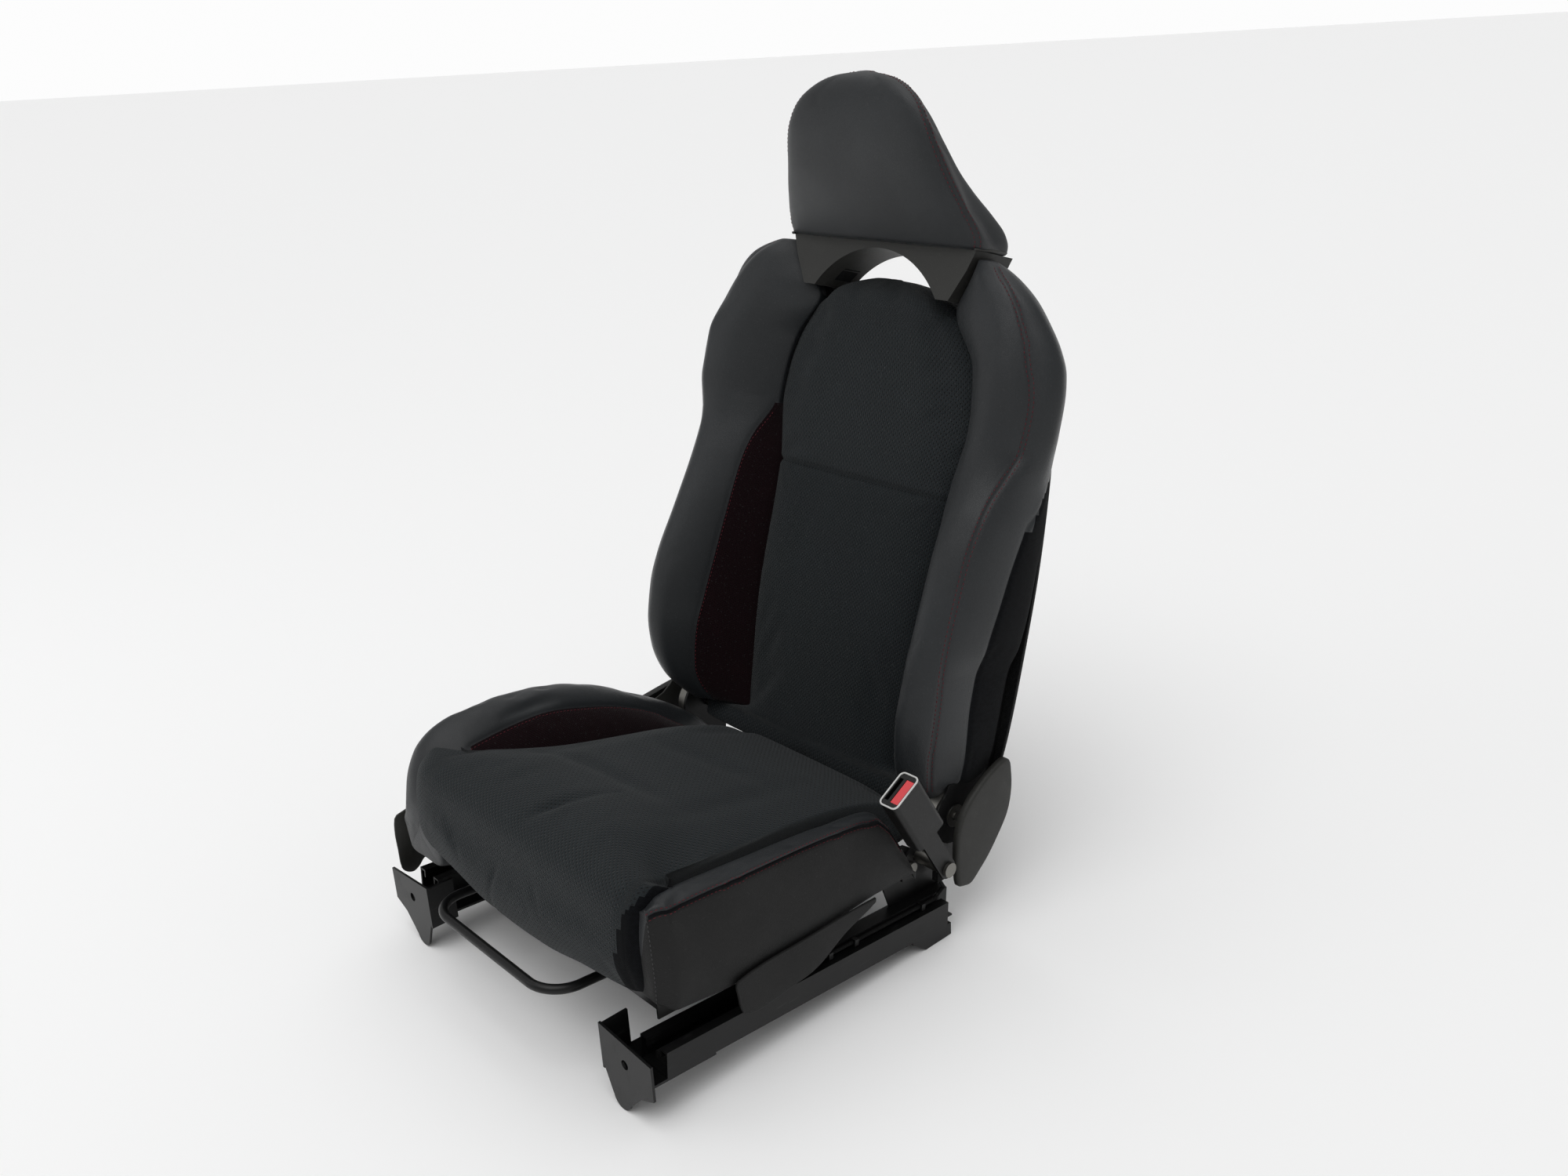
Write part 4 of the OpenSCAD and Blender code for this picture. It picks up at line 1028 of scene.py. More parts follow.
@dataclass
class Backrest:
    """The backrest's centre pad, side bolsters and rear cover."""

    outer: Table = (
        (16, 228), (45, 240), (80, 246), (172, 248), (205, 257), (260, 261), (330, 261), (385, 259),
        (420, 264), (452, 270), (490, 273), (520, 270), (546, 260), (570, 245), (592, 228), (610, 206),
        (622, 186), (630, 168),
    )
    crest: Table = (
        (16, 196, -38), (44, 203, -70), (80, 207, -87), (125, 210, -97), (170, 212, -98), (213, 213, -95),
        (272, 214, -87), (314, 214, -79), (348, 214, -67), (375, 213, -56), (401, 212, -49), (433, 213, -45),
        (470, 214, -44), (503, 213, -44), (553, 203, -42), (590, 184, -40), (612, 166, -36), (630, 152, -26),
    )
    stitched: Table = (
        (16, 222, -26), (36, 230, -44), (80, 236, -60), (119, 239, -66), (200, 242, -75), (300, 243, -69),
        (345, 243, -58), (370, 242, -46), (400, 244, -28), (431, 247, -14), (479, 251, -17), (537, 239, -24),
        (575, 222, -28), (600, 205, -31), (618, 184, -28), (630, 166, -18),
    )
    outer_far: Table = (
        (16, 230), (45, 250), (80, 263), (125, 270), (172, 270), (213, 269), (272, 268), (348, 269),
        (401, 272), (451, 280), (503, 283), (553, 274), (575, 264), (592, 254), (610, 238), (622, 218),
        (632, 190),
    )
    crest_far: Table = (
        (16, 202, -42), (44, 217, -78), (80, 229, -97), (125, 234, -107), (170, 234, -109), (213, 234, -104),
        (272, 233, -91), (348, 233, -72), (401, 237, -63), (451, 243, -66), (503, 243, -65), (553, 228, -55),
        (590, 208, -50), (612, 190, -44), (632, 168, -30),
    )
    stitched_far: Table = (
        (16, 223, -34), (36, 238, -58), (53, 245, -71), (80, 251, -84), (125, 255, -94), (170, 256, -96),
        (206, 255, -92), (272, 254, -71), (348, 255, -51), (401, 258, -42), (451, 267, -48), (503, 267, -43),
        (553, 253, -32), (592, 231, -33), (612, 211, -32), (632, 182, -20),
    )
    side_seam: Table = (
        (16, 6), (33, 1), (90, -12), (139, -19), (214, -21), (278, -12), (342, 4), (370, 12), (410, 14),
        (450, 11), (520, 6), (560, -2), (600, -14), (632, -16),
    )
    rear_edge: Table = ((16, 44), (60, 52), (400, 52), (440, 50), (500, 50), (560, 42), (600, 26), (632, 10))
    rear_turn: Table = (
        (16, 1, 9, 34), (350, 1, 9, 34), (430, 7, 24, 50), (500, 12, 38, 66), (560, 12, 38, 62),
        (600, 8, 26, 46), (632, 5, 16, 30),
    )
    inset_seam: Table = (
        (16, 176, -24), (30, 182, -42), (62, 187, -60), (117, 188, -66), (160, 188, -60), (224, 186, -52),
        (310, 180, -44), (350, 176, -39), (384, 171, -28), (408, 165, -14), (423, 162, -6), (435, 162, -3),
        (509, 151, -3), (572, 114, -6), (585, 122, -12), (616, 140, -16), (630, 144, -12),
    )
    inner: Table = (
        (16, 136), (60, 140), (198, 151), (353, 148), (400, 156), (435, 161), (470, 159), (509, 150),
        (545, 131), (566, 112), (578, 117), (592, 124), (616, 139), (630, 143),
    )
    half_width: Table = (
        (14, 136), (60, 140), (198, 150.5), (353, 147), (400, 156), (435, 161.5), (470, 159), (509, 149),
        (545, 130), (566, 111), (578, 95), (588, 72), (594, 50), (598, 26),
    )
    pad_front: Table = (
        (14, -11), (75, -15), (198, -18), (290, -14), (352, -11), (433, -10), (500, -11), (545, -15),
        (572, -21), (584, -22), (592, -17), (598, -4),
    )
    pad_rear: Table = ((14, 11.5), (546, 11.5), (562, 46), (578, 50), (590, 40), (598, 22))
    seam_height: float = 355.0

    def bolster(self, side: int) -> SoftForm:
        """One side bolster: leather, with a mesh insert inside and cloth behind.

        Args:
            side: 1 for the sitter's left, -1 for the right.

        Returns:
            The built form.
        """
        word = "left" if side > 0 else "right"
        outer, crest, stitched = self.outer, self.crest, self.stitched
        if side < 0:
            outer, crest, stitched = self.outer_far, self.crest_far, self.stitched_far
        zs = np.concatenate([rising(16, 560, 92, 0.15), rising(566, outer[-1][0], 16, 0.3)])
        rings = []
        per = 5
        for z in zs:
            xo = float(at(outer, z)[0])
            xc, yc = at(crest, z)
            xs, ys = at(stitched, z)
            y2 = float(at(self.side_seam, z)[0])
            xi, yi = at(self.inset_seam, z)
            xin = float(at(self.inner, z)[0])
            rear = float(at(self.rear_edge, z)[0])
            turn = at(self.rear_turn, z)
            keys = [
                (xin + 2, 22),
                (xin + 1.5, 8),
                (xi, yi),
                (xi + 0.55 * (xc - xi), yi + 0.82 * (yc - yi)),
                (xc, yc),
                (0.5 * (xc + xs) + 2, 0.62 * yc + 0.38 * ys),
                (xs, ys),
                (0.35 * xs + 0.65 * xo, 0.62 * ys + 0.38 * y2),
                (xo, y2),
                (xo - turn[0], 0.5 * (y2 + rear)),
                (xo - turn[1], rear - 1),
                (xo - turn[2], rear + 1.5),
                (0.6 * xin + 0.4 * (xo - turn[2]), rear),
                (xin + 6, 0.8 * rear),
            ]
            curve = flow(np.array(keys), per)
            rings.append(np.column_stack([curve[:, 0] * side, curve[:, 1], np.full(len(curve), z)]))
        grid = on_back(np.array(rings))
        m, n = grid.shape[:2]
        zones = np.zeros((m, n), int)
        zones[:, per : 2 * per] = np.where(zs[:, None] < 424, 1, 0)
        zones[:, 0:per] = 1
        depth = np.array(rings)[:, 8 * per :, 1]
        zones[:, 8 * per :] = np.where(zs[:, None] < 342 + np.clip(depth - 11, 0, 40) * 2.5, 2, 0)
        zones[:, 11 * per :] = 2
        form = SoftForm(
            f"back_bolster_cover_{word}",
            grid,
            (LEATHER, BURGUNDY, BLACK_CLOTH),
            zones,
            0.003,
            (0, per, 2 * per, 6 * per, 8 * per, 11 * per, 12 * per, 13 * per),
            (),
            0.0055,
        )
        obj = form.build()
        stop = int(np.searchsorted(zs, 424))
        turnover = int(np.searchsorted(zs, 345))
        main = form.column(6 * per, 3, m - 3)
        dent(obj, main, 0.0028, 0.0016)
        dent(obj, form.column(2 * per, 1, stop), 0.0026, 0.0014)
        slant = [
            form.skin[i + form.lead, 8 * per + min(4 * per, max(0, i - turnover))]
            for i in range(1, stop)
        ]
        dent(obj, np.array(slant), 0.0028, 0.0018)
        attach(obj, Body.BACK.value)
        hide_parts(f"back_bolster_{word}")
        sew_seam(f"bolster_stitch_{word}", obj, main, Body.BACK, StitchRun(), (-0.0032, 0.0032))
        inset_line = form.column(2 * per, 2, stop - 2)
        sew_seam(f"insert_stitch_{word}", obj, inset_line, Body.BACK, StitchRun(), (-0.003 * side,))
        return form

    def pad(self) -> SoftForm:
        """The knitted centre pad, coarser above its cross seam than below."""
        low = np.concatenate([rising(-12, 12, 6), rising(15, self.seam_height, 52)])
        high = np.concatenate([rising(self.seam_height, 566, 34)[1:], rising(566, 598, 12, 0.4)[1:]])
        zs = np.concatenate([low, high])
        per = 7
        rings = []
        for z in zs:
            w = float(at(self.half_width, z)[0])
            yf = float(at(self.pad_front, z)[0])
            yr = float(at(self.pad_rear, z)[0])
            top = max(0.0, min(1.0, (z - 560) / 38))
            if z < 13:
                w, yf, yr = 203.0, -13.0, -7.8
            edge = 5 + 6 * top if z > 13 else -10.0
            keys = [
                (-w, edge),
                (-w + 9 + 2 * top, yf * 0.45 + 1 if z > 13 else -12.4),
                (-w * 0.80, yf * 0.9 + 0.5),
                (-w * 0.42, yf + 1.0),
                (0, yf),
                (w * 0.42, yf + 1.0),
                (w * 0.80, yf * 0.9 + 0.5),
                (w - 9 - 2 * top, yf * 0.45 + 1 if z > 13 else -12.4),
                (w, edge),
                (w * 0.96, yr),
                (w * 0.5, yr + 0.3),
                (0, yr + 0.3),
                (-w * 0.5, yr + 0.3),
                (-w * 0.96, yr),
            ]
            curve = flow(np.array(keys), per)
            rings.append(np.column_stack([curve[:, 0], curve[:, 1], np.full(len(curve), z)]))
        grid = on_back(np.array(rings))
        m, n = grid.shape[:2]
        zones = np.zeros((m, n), int)
        cut = len(low) - 1
        zones[:cut] = 1
        form = SoftForm(
            "back_pad_cover", grid, (KNIT, FINE_KNIT), zones, 0.001,
            (0, 8 * per, 9 * per, 10 * per, 11 * per, 12 * per, 13 * per), (cut,), 0.005,
        )
        obj = form.build()
        dent(obj, form.row(cut, 0, 8 * per), 0.0032, 0.0035)
        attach(obj, Body.BACK.value)
        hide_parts("back_pad")
        return form

    def rear_cover(self) -> bpy.types.Object:
        """The carpeted rear board, with a bound edge."""
        half = [
            (243, 26), (249, 100), (250, 200), (248, 300), (240, 400), (232, 452), (226, 500), (208, 550),
            (178, 580), (120, 581), (0, 580),
        ]
        right = flow(np.array(half, float), 8, False)
        left = right[::-1][1:] * [-1, 1]
        low = [(x, 24.0) for x in np.linspace(-220, 220, 30)]
        outline = np.concatenate([right, left, low])

        def to_row(co: Points) -> Points:
            """Turn plate points (depth, across, height) into the row frame."""
            return on_back(np.column_stack([co[:, 1], co[:, 0], co[:, 2]]) / MM)

        board = moulding("back_cover_board", outline * MM, 0.0545, 0.0630, CARPET, 0.004, 0.0, to_row)
        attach(board, Body.BACK.value)
        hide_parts("back_panel")
        rim = np.column_stack([outline[:, 0], np.full(len(outline), 57.6), outline[:, 1]])
        path = on_back(rim * [0.995, 1, 0.998] + [0, 0, 0.5])
        piping = tube("back_cover_binding", path, 0.0022, SIDE_VINYL, 8, True)
        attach(piping, Body.BACK.value)
        return board

    def build(self) -> None:
        """Make the whole backrest."""
        for side in (1, -1):
            form = self.bolster(side)
            log.info("%s built", form.name)
        log.info("%s built", self.pad().name)
        log.info("%s built", self.rear_cover().name)


# ---- head restraint ----


@dataclass
class HeadRestraint:
    """The head pad, its edge binding and the lined arch under it."""

    width: Table = (
        (640, 151), (650, 152), (664, 149), (683, 141), (718, 126), (750, 116), (775, 104), (790, 92),
        (802, 74), (810, 55), (815, 36), (818, 14),
    )
    front: Table = (
        (640, -42), (650, -51), (679, -75), (718, -101), (757, -116), (785, -120), (803, -117), (812, -112),
        (818, -103),
    )
    rear: Table = (
        (640, 34), (652, 36), (665, 32), (680, 18), (705, -13), (730, -42), (756, -65), (785, -82),
        (803, -90), (812, -94), (818, -98),
    )
    seam: Table = (
        (640, -30), (656, -39), (700, -69), (746, -95), (761, -101), (785, -105), (803, -105), (812, -104),
        (818, -100),
    )

    def pad(self) -> SoftForm:
        """The domed leather pad, with a top-stitched seam over its edge."""
        zs = np.concatenate([rising(640, 780, 34, 0.1), rising(782, 818, 18, 0.55)])
        per = 6
        rings = []
        for z in zs:
            w = float(at(self.width, z)[0])
            yf, yr, ys = (float(at(t, z)[0]) for t in (self.front, self.rear, self.seam))
            keys = [
                (0, yf), (w * 0.48, yf + 1.0), (w * 0.83, yf + 0.32 * (ys - yf)), (w, ys),
                (w + 0.5, 0.6 * ys + 0.4 * yr),
                (w - 5, yr - 0.12 * (yr - ys)), (w * 0.62, yr + 1), (0, yr + 4),
            ]
            full = keys + [(-x, y) for x, y in keys[1:-1][::-1]]
            curve = flow(np.array(full), per)
            rings.append(np.column_stack([curve[:, 0], curve[:, 1], np.full(len(curve), z)]))
        grid = on_back(np.array(rings))
        n = grid.shape[1]
        form = SoftForm(
            "head_pad_cover", grid, (LEATHER,), None, 0.0012, (3 * per, n - 3 * per), (0,), 0.005,
        )
        obj = form.build()
        right = form.column(3 * per, 1)
        left = form.column(n - 3 * per, 1)
        for line in (right, left):
            dent(obj, line, 0.003, 0.0018)
        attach(obj, Body.HEAD.value)
        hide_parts("head_pad")
        sew_seam("head_stitch_left", obj, right, Body.HEAD, StitchRun(), (-0.0034, 0.0034))
        sew_seam("head_stitch_right", obj, left, Body.HEAD, StitchRun(), (-0.0034, 0.0034))
        return form

    def trims(self) -> None:
        """The pale bound edges of the pad's ends, and the arch's dark lining."""
        for side, word in ((1, "left"), (-1, "right")):
            keys = [(149, -34, 640.0), (152.5, -14, 641.5), (151.5, 8, 643), (147, 24, 644), (138, 31, 644)]
            line = flow(np.array(keys), 8, False)
            edge = tube(f"head_end_binding_{word}", on_back(line * [side, 1, 1]), 0.0016, GREY_PLASTIC, 8)
            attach(edge, Body.HEAD.value)
        rings = []
        for y, r in ((-4, 0.0), (-4, 0.8), (24, 0.8), (24, 0.0)):
            arc = []
            for x in np.linspace(-93, 93, 60):
                radius = 123.0 + 1.5 - r
                rise = math.sqrt(max(radius**2 - x**2, 0.0))
                arc.append((x * (radius / 124.5), y, 581 + 51 - 123.5 + rise))
            rings.append(arc)
        grid = on_back(np.array(rings))
        faces, n = [], 60
        for i in range(4):
            for j in range(n - 1):
                k = (i + 1) % 4
                faces.append((i * n + j, i * n + j + 1, k * n + j + 1, k * n + j))
        faces += [(0, n, 2 * n, 3 * n), (n - 1, 4 * n - 1, 3 * n - 1, 2 * n - 1)]
        mesh = bpy.data.meshes.new("arch_lining")
        mesh.from_pydata([tuple(p) for p in grid.reshape(-1, 3)], [], faces)
        uv = mesh.uv_layers.new(name="Cut")
        spots = [grid.reshape(-1, 3)[loop.vertex_index] for loop in mesh.loops]
        uv.data.foreach_set("uv", np.asarray([(p[0], p[1]) for p in spots], np.float32).ravel())
        tidy(mesh)
        lining = new_object("arch_lining", mesh, [BLACK_CLOTH])
        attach(lining, Body.HEAD.value)

    def build(self) -> None:
        """Make the whole head restraint."""
        log.info("%s built", self.pad().name)
        self.trims()


# ---- cushion ----


@dataclass
class Cushion:
    """The seat cushion: knitted pad, two leather bolsters, side skirt and flap."""

    flap_planes: tuple[float, float] = (0.2472, 0.2504)

    profile: Table = (
        (0, 115, 126), (1, 0, 122), (2, -150, 121.5), (3, -286, 121), (4, -311, 112), (5, -323, 134),
        (6, -327, 168), (7, -326, 204), (8, -319, 234), (9, -299, 250), (10, -262, 255), (11, -205, 246),
        (12, -154, 234), (13, -85, 222), (14, -16, 208), (15, 40, 190), (16, 83, 169), (17, 110, 151),
    )
    hem: Table = (
        (-222, 128), (-180, 126), (-121, 120), (-60, 111), (0, 109), (60, 111), (121, 120), (180, 126),
        (222, 128),
    )
    nose_back: Table = (
        (-224, 30), (-219, 18), (-208, 8), (-185, 2), (-150, 0), (150, 0), (190, 2), (208, 8), (217, 17),
        (222, 30),
    )
    far_dip: Table = ((-300, 4), (-250, 12), (-200, 24), (-154, 30), (-41, 44), (34, 46), (110, 30))
    near_dip: Table = ((-300, 6), (-268, 20), (-208, 19), (-145, 12), (-55, 6), (36, 5), (110, 5))
    far_crest: Table = (
        (-319, 214, 190), (-312, 222, 213), (-302, 227, 231), (-288, 229, 249), (-268, 229, 262),
        (-238, 228, 271), (-191, 227, 275), (-140, 227, 271), (-101, 226, 263), (-60, 225, 249),
        (-31, 224, 236), (5, 222, 216), (41, 220, 194), (80, 217, 166), (104, 213, 145), (118, 210, 130),
    )
    insert_top: Table = (
        (-304, 196), (-262, 238), (-235, 243), (-158, 248), (-67, 228), (16, 190), (65, 152), (118, 118),
    )
    strip_in: Table = (
        (-300, 226), (-268, 233), (-208, 228), (-145, 222), (-55, 211), (0, 200), (20, 190), (38, 165),
        (60, 118),
    )
    strip_out: Table = (
        (-302, 226), (-290, 231), (-267, 230), (-186, 224), (-99, 218), (-18, 208), (6, 202), (22, 186),
        (38, 158), (60, 116),
    )

    def pad(self) -> SoftForm:
        """The knitted pad and nose, with a cloth gusset at its near corner."""
        xs = np.concatenate([
            rising(-222, -172, 10), rising(-166, 204, 66), rising(206, 222, 6),
        ])
        per = 5
        rings = []
        base = np.array([r[1:] for r in self.profile])
        for x in xs:
            keys = base.copy()
            full = -169 < x < 205
            keys[4, 1] = float(at(self.hem, x)[0])
            keys[5, 1] = keys[4, 1] + 20
            back = float(at(self.nose_back, x)[0])
            for k in range(3, 10):
                keys[k, 0] += back * (1.0 if k > 3 else 0.2)
            keys[8:10, 1] -= back * 0.35
            for k in range(10, 18):
                y = keys[k, 0]
                near = max(0.0, min(1.0, (x - 105) / 100)) ** 1.6
                far = max(0.0, min(1.0, (-x - 70) / 95)) ** 1.7
                keys[k, 1] -= near * float(at(self.near_dip, y)[0]) + far * float(at(self.far_dip, y)[0])
            if not full:
                edge = -262.0
                keys[0:3] = [(edge, 200), (edge, 170), (edge, 140)]
                keys[3] = (edge, 128)
                keys[10] = (edge - 2, keys[10, 1] - 4)
                for k in range(11, 18):
                    keys[k] = (edge, 246 - (k - 11) * 6)
            curve = flow(keys, per)
            rings.append(np.column_stack([np.full(len(curve), x), curve[:, 0], curve[:, 1]]))
        grid = np.array(rings) * MM
        m, n = grid.shape[:2]
        zones = np.zeros((m, n), int)
        corner = np.interp(grid[:, :, 2], [0.120, 0.170, 0.214, 0.240], [0.186, 0.192, 0.201, 0.214])
        zones[(grid[:, :, 0] > corner) & (grid[:, :, 1] < -0.255)] = 1
        form = SoftForm(
            "cushion_pad_cover", grid, (KNIT, BLACK_CLOTH), zones, 0.002, (0, 3 * per, 4 * per), (), 0.006,
        )
        obj = form.build()
        keys = [
            (-40, -318, 112), (-30, -327, 150), (-9, -328, 204), (8, -318, 244), (16, -284, 254),
            (49, -199, 246),
        ]
        nose = flow(np.array(keys) * MM, 14, False)
        dent(obj, nose, 0.004, 0.0022)
        dent(obj, nose[-32:], 0.009, 0.0035, 0.4)
        creases = (
            ([(-150, -215, 235), (-84, -190, 240), (-22, -176, 240), (65, -171, 238), (120, -165, 230)],
            0.014, 0.0050),
            ([(-110, -80, 200), (-21, -63, 216), (76, -50, 214), (160, -40, 208)], 0.015, 0.0035),
            ([(-62, -30, 200), (-56, 10, 196), (-54, 70, 175)], 0.014, 0.0035),
            ([(95, -260, 250), (120, -180, 236), (130, -80, 218), (125, 20, 196)], 0.020, 0.0030),
            ([(-110, -250, 240), (-105, -150, 226), (-95, -90, 210)], 0.018, 0.0030),
        )
        for points, width, depth in creases:
            dent(obj, flow(np.array(points, float) * MM, 10, False), width, depth, 0.35)
        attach(obj, Body.BASE.value)
        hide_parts("cushion_pad")
        return form

    def far_bolster(self) -> SoftForm:
        """The sitter's right bolster, with the mesh insert on its inner face."""
        ys = np.concatenate([rising(-319, -290, 9, 0.2), rising(-285, 118, 64)])
        per = 5
        rings = []
        for y in ys:
            xc, zc = at(self.far_crest, y)
            zi = min(float(at(self.insert_top, y)[0]), zc - 5)
            end = max(0.0, (-290 - y) / 29)
            low = 106 + 10 * end
            keys = [
                (162, low + 4), (158, 0.45 * zi + 0.55 * low), (167, 0.84 * zi + 0.16 * low),
                (186 - 2 * end, zi),
                (xc - 17, zc - 5), (xc, zc), (xc + 14, zc - 9), (249 - 7 * end, zc - 32),
                (254 - 10 * end, 0.5 * (zc + low)),
                (251 - 12 * end, low + 18), (243 - 12 * end, low), (205, low),
            ]
            curve = flow(np.array(keys), per)
            rings.append(np.column_stack([-curve[:, 0], np.full(len(curve), y), curve[:, 1]]))
        grid = np.array(rings) * MM
        m, n = grid.shape[:2]
        zones = np.zeros((m, n), int)
        zones[:, 0 : 3 * per] = np.where(ys[:, None] > -250, 1, 0)
        form = SoftForm(
            "cushion_bolster_cover_right", grid, (LEATHER, BURGUNDY), zones, 0.003,
            (0, 3 * per, 10 * per, 11 * per), (), 0.0055,
        )
        obj = form.build()
        start = int(np.searchsorted(ys, -250))
        seam = form.column(3 * per, start, m - 2)
        dent(obj, seam, 0.0028, 0.0016)
        outer = form.column(7 * per, 2, m - 3)
        dent(obj, outer, 0.0028, 0.0014)
        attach(obj, Body.BASE.value)
        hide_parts("cushion_bolster_right")
        sew_seam("cushion_insert_stitch", obj, seam, Body.BASE, StitchRun(), (0.003,))
        sew_seam("cushion_side_stitch_right", obj, outer, Body.BASE, StitchRun(), (-0.003, 0.003))
        return form

    def near_bolster(self) -> SoftForm:
        """The sitter's left bolster: a leather strip, piping and a deep side skirt."""
        ys = np.concatenate([rising(-302, -284, 8, 0.2), rising(-280, 14, 52), rising(18, 60, 12)])
        per = 5
        rings = []
        for y in ys:
            zi = float(at(self.strip_in, y)[0])
            zo = float(at(self.strip_out, y)[0])
            end = max(0.0, (-284 - y) / 18)
            low = float(np.interp(y, [-302, -288, -218, -100, -4, 60], [124, 113, 103, 106, 110, 107]))
            low = min(low, zo - 6)
            keys = [
                (203, low + 3), (202, 0.5 * (zi + low)), (203.5, zi - 6), (210, zi + 1.5 - 3 * end),
                (222, 0.5 * (zi + zo) + 6 - 4 * end),
                (234 - 8 * end, zo + 4), (240.5 - 12 * end, zo - 3), (244 - 14 * end, zo - 16),
                (245.5 - 14 * end, 0.5 * (zo + low)),
                (245.5 - 13 * end, 0.25 * zo + 0.75 * low), (243 - 12 * end, low + 3),
                (238 - 10 * end, low), (220, low + 1),
            ]
            curve = flow(np.array(keys), per)
            rings.append(np.column_stack([curve[:, 0], np.full(len(curve), y), curve[:, 1]]))
        grid = np.array(rings) * MM
        m, n = grid.shape[:2]
        zones = np.zeros((m, n), int)
        zones[:, 6 * per :] = 1
        form = SoftForm(
            "cushion_bolster_cover_left", grid, (LEATHER, SIDE_VINYL), zones, 0.003,
            (0, 6 * per, 10 * per, 11 * per, 12 * per), (), 0.004,
        )
        obj = form.build()
        seam = form.column(6 * per, 1, m - 6)
        dent(obj, seam, 0.0028, 0.0020)
        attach(obj, Body.BASE.value)
        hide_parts("cushion_bolster_left")
        sew_seam("cushion_side_stitch_left", obj, seam, Body.BASE, StitchRun(), (0.0034, -0.0042))
        line, _up = settle(obj, even(seam, 0.006), 0.0004)
        piping = tube("cushion_piping", line, 0.0016, BLACK_CLOTH, 8)
        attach(piping, Body.BASE.value)
        front = form.row(1, 5 * per, 10 * per)
        sew_seam("cushion_front_stitch", obj, front, Body.BASE, StitchRun(finish=GREY_THREAD), (0.003,))
        return form

    def flap(self) -> bpy.types.Object:
        """The side skirt's flap over the rail."""
        outline = flow(np.array([
            (-212, 112), (-213, 90), (-209, 72), (-200, 65.5), (-183, 63), (-145, 66), (-103, 71),
            (-60, 92), (-12, 108), (-11, 114), (-110, 115),
        ], float), 5)
        obj = moulding("trim_flap_cover", outline * MM, *self.flap_planes, SIDE_VINYL, 0.0012)
        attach(obj, Body.BASE.value)
        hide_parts("trim_flap")
        return obj

    def build(self) -> None:
        """Make the whole cushion."""
        for form in (self.pad(), self.far_bolster(), self.near_bolster()):
            log.info("%s built", form.name)
        log.info("%s built", self.flap().name)


# ---- moulded covers and buckle ----


@dataclass
class Covers:
    """The recliner shield, the far side's valance and the recliner handle."""

    shield_planes: tuple[float, float] = (0.2530, 0.2618)
    valance_planes: tuple[float, float] = (-0.2642, -0.2680)
    handle_planes: tuple[float, float] = (-0.2692, -0.2828)

    shield: Table = (
        (116, 72), (126, 67.5), (137, 66), (152, 76), (169, 90), (187, 110), (202, 130), (209, 148),
        (212, 168), (211, 188), (208, 202), (199, 207), (188, 205), (172, 199), (155, 190), (137, 177),
        (124, 162), (116, 144), (113, 122), (113, 96),
    )
    valance: Table = (
        (-317, 147), (-323, 129), (-323, 100), (-322, 74), (-316, 66), (-307, 63), (-298, 68), (-291, 75),
        (-238, 88), (-100, 86), (30, 82), (90, 66), (150, 62), (186, 84), (206, 124), (204, 160), (190, 180),
        (172, 192), (150, 194), (132, 190), (97, 162), (40, 152), (-60, 153), (-160, 154), (-260, 153),
    )
    handle: Table = (
        (150, 165), (139, 169), (120, 168), (80, 163), (40, 157), (25, 153.5), (18, 147), (17, 140),
        (20, 134), (28, 130.5), (60, 131), (100, 133), (128, 133), (146, 134), (156, 143), (157, 155),
    )

    def build(self) -> None:
        """Mould the three covers."""
        outline = flow(np.array(self.shield), 3) * MM
        shield = moulding(
            "recliner_shield_cover", outline, *self.shield_planes, DARK_PLASTIC, 0.004, 0.0012
        )
        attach(shield, Body.BASE.value)
        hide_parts("recliner_shield")
        outline = flow(np.array(self.valance), 3) * MM
        valance = moulding("side_valance_cover", outline, *self.valance_planes, DARK_PLASTIC, 0.0022)
        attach(valance, Body.BASE.value)
        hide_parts("side_valance")
        outline = flow(np.array(self.handle), 3) * MM
        handle = moulding("recliner_handle_grip", outline, *self.handle_planes, BLACK_PLASTIC, 0.004)
        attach(handle, Body.RECLINER.value)
        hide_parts("recliner_handle")
        log.info("covers built")


@dataclass
class Buckle:
    """The belt buckle's pale rim."""

    place: tuple[float, float, float] = (264.0, 91.0, 110.0)
    lean: float = 29.4
    half_x: float = 12.2
    half_y: float = 22.2
    corner: float = 5.5
    height: float = 153.4

    def build(self) -> None:
        """Lay the rim round the buckle's mouth."""
        corners = []
        for cx, cy, start in ((1, 1, 0), (-1, 1, 90), (-1, -1, 180), (1, -1, 270)):
            for step in range(7):
                w = math.radians(start + 15 * step)
                x = cx * (self.half_x - self.corner) + self.corner * math.cos(w)
                y = cy * (self.half_y - self.corner) + self.corner * math.sin(w)
                corners.append((x, y, self.height))
        turn = Matrix.Rotation(math.radians(self.lean), 4, "X")
        where = Matrix.Translation(Vector(self.place)) @ turn
        path = np.array([tuple(where @ Vector(c)) for c in corners]) * MM
        rim = tube("buckle_rim", path, 0.0011, CLEAR_RIM, 8, True)
        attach(rim, Body.BUCKLE.value)
        log.info("buckle rim built")


# ---- carried-over metal and plastic ----


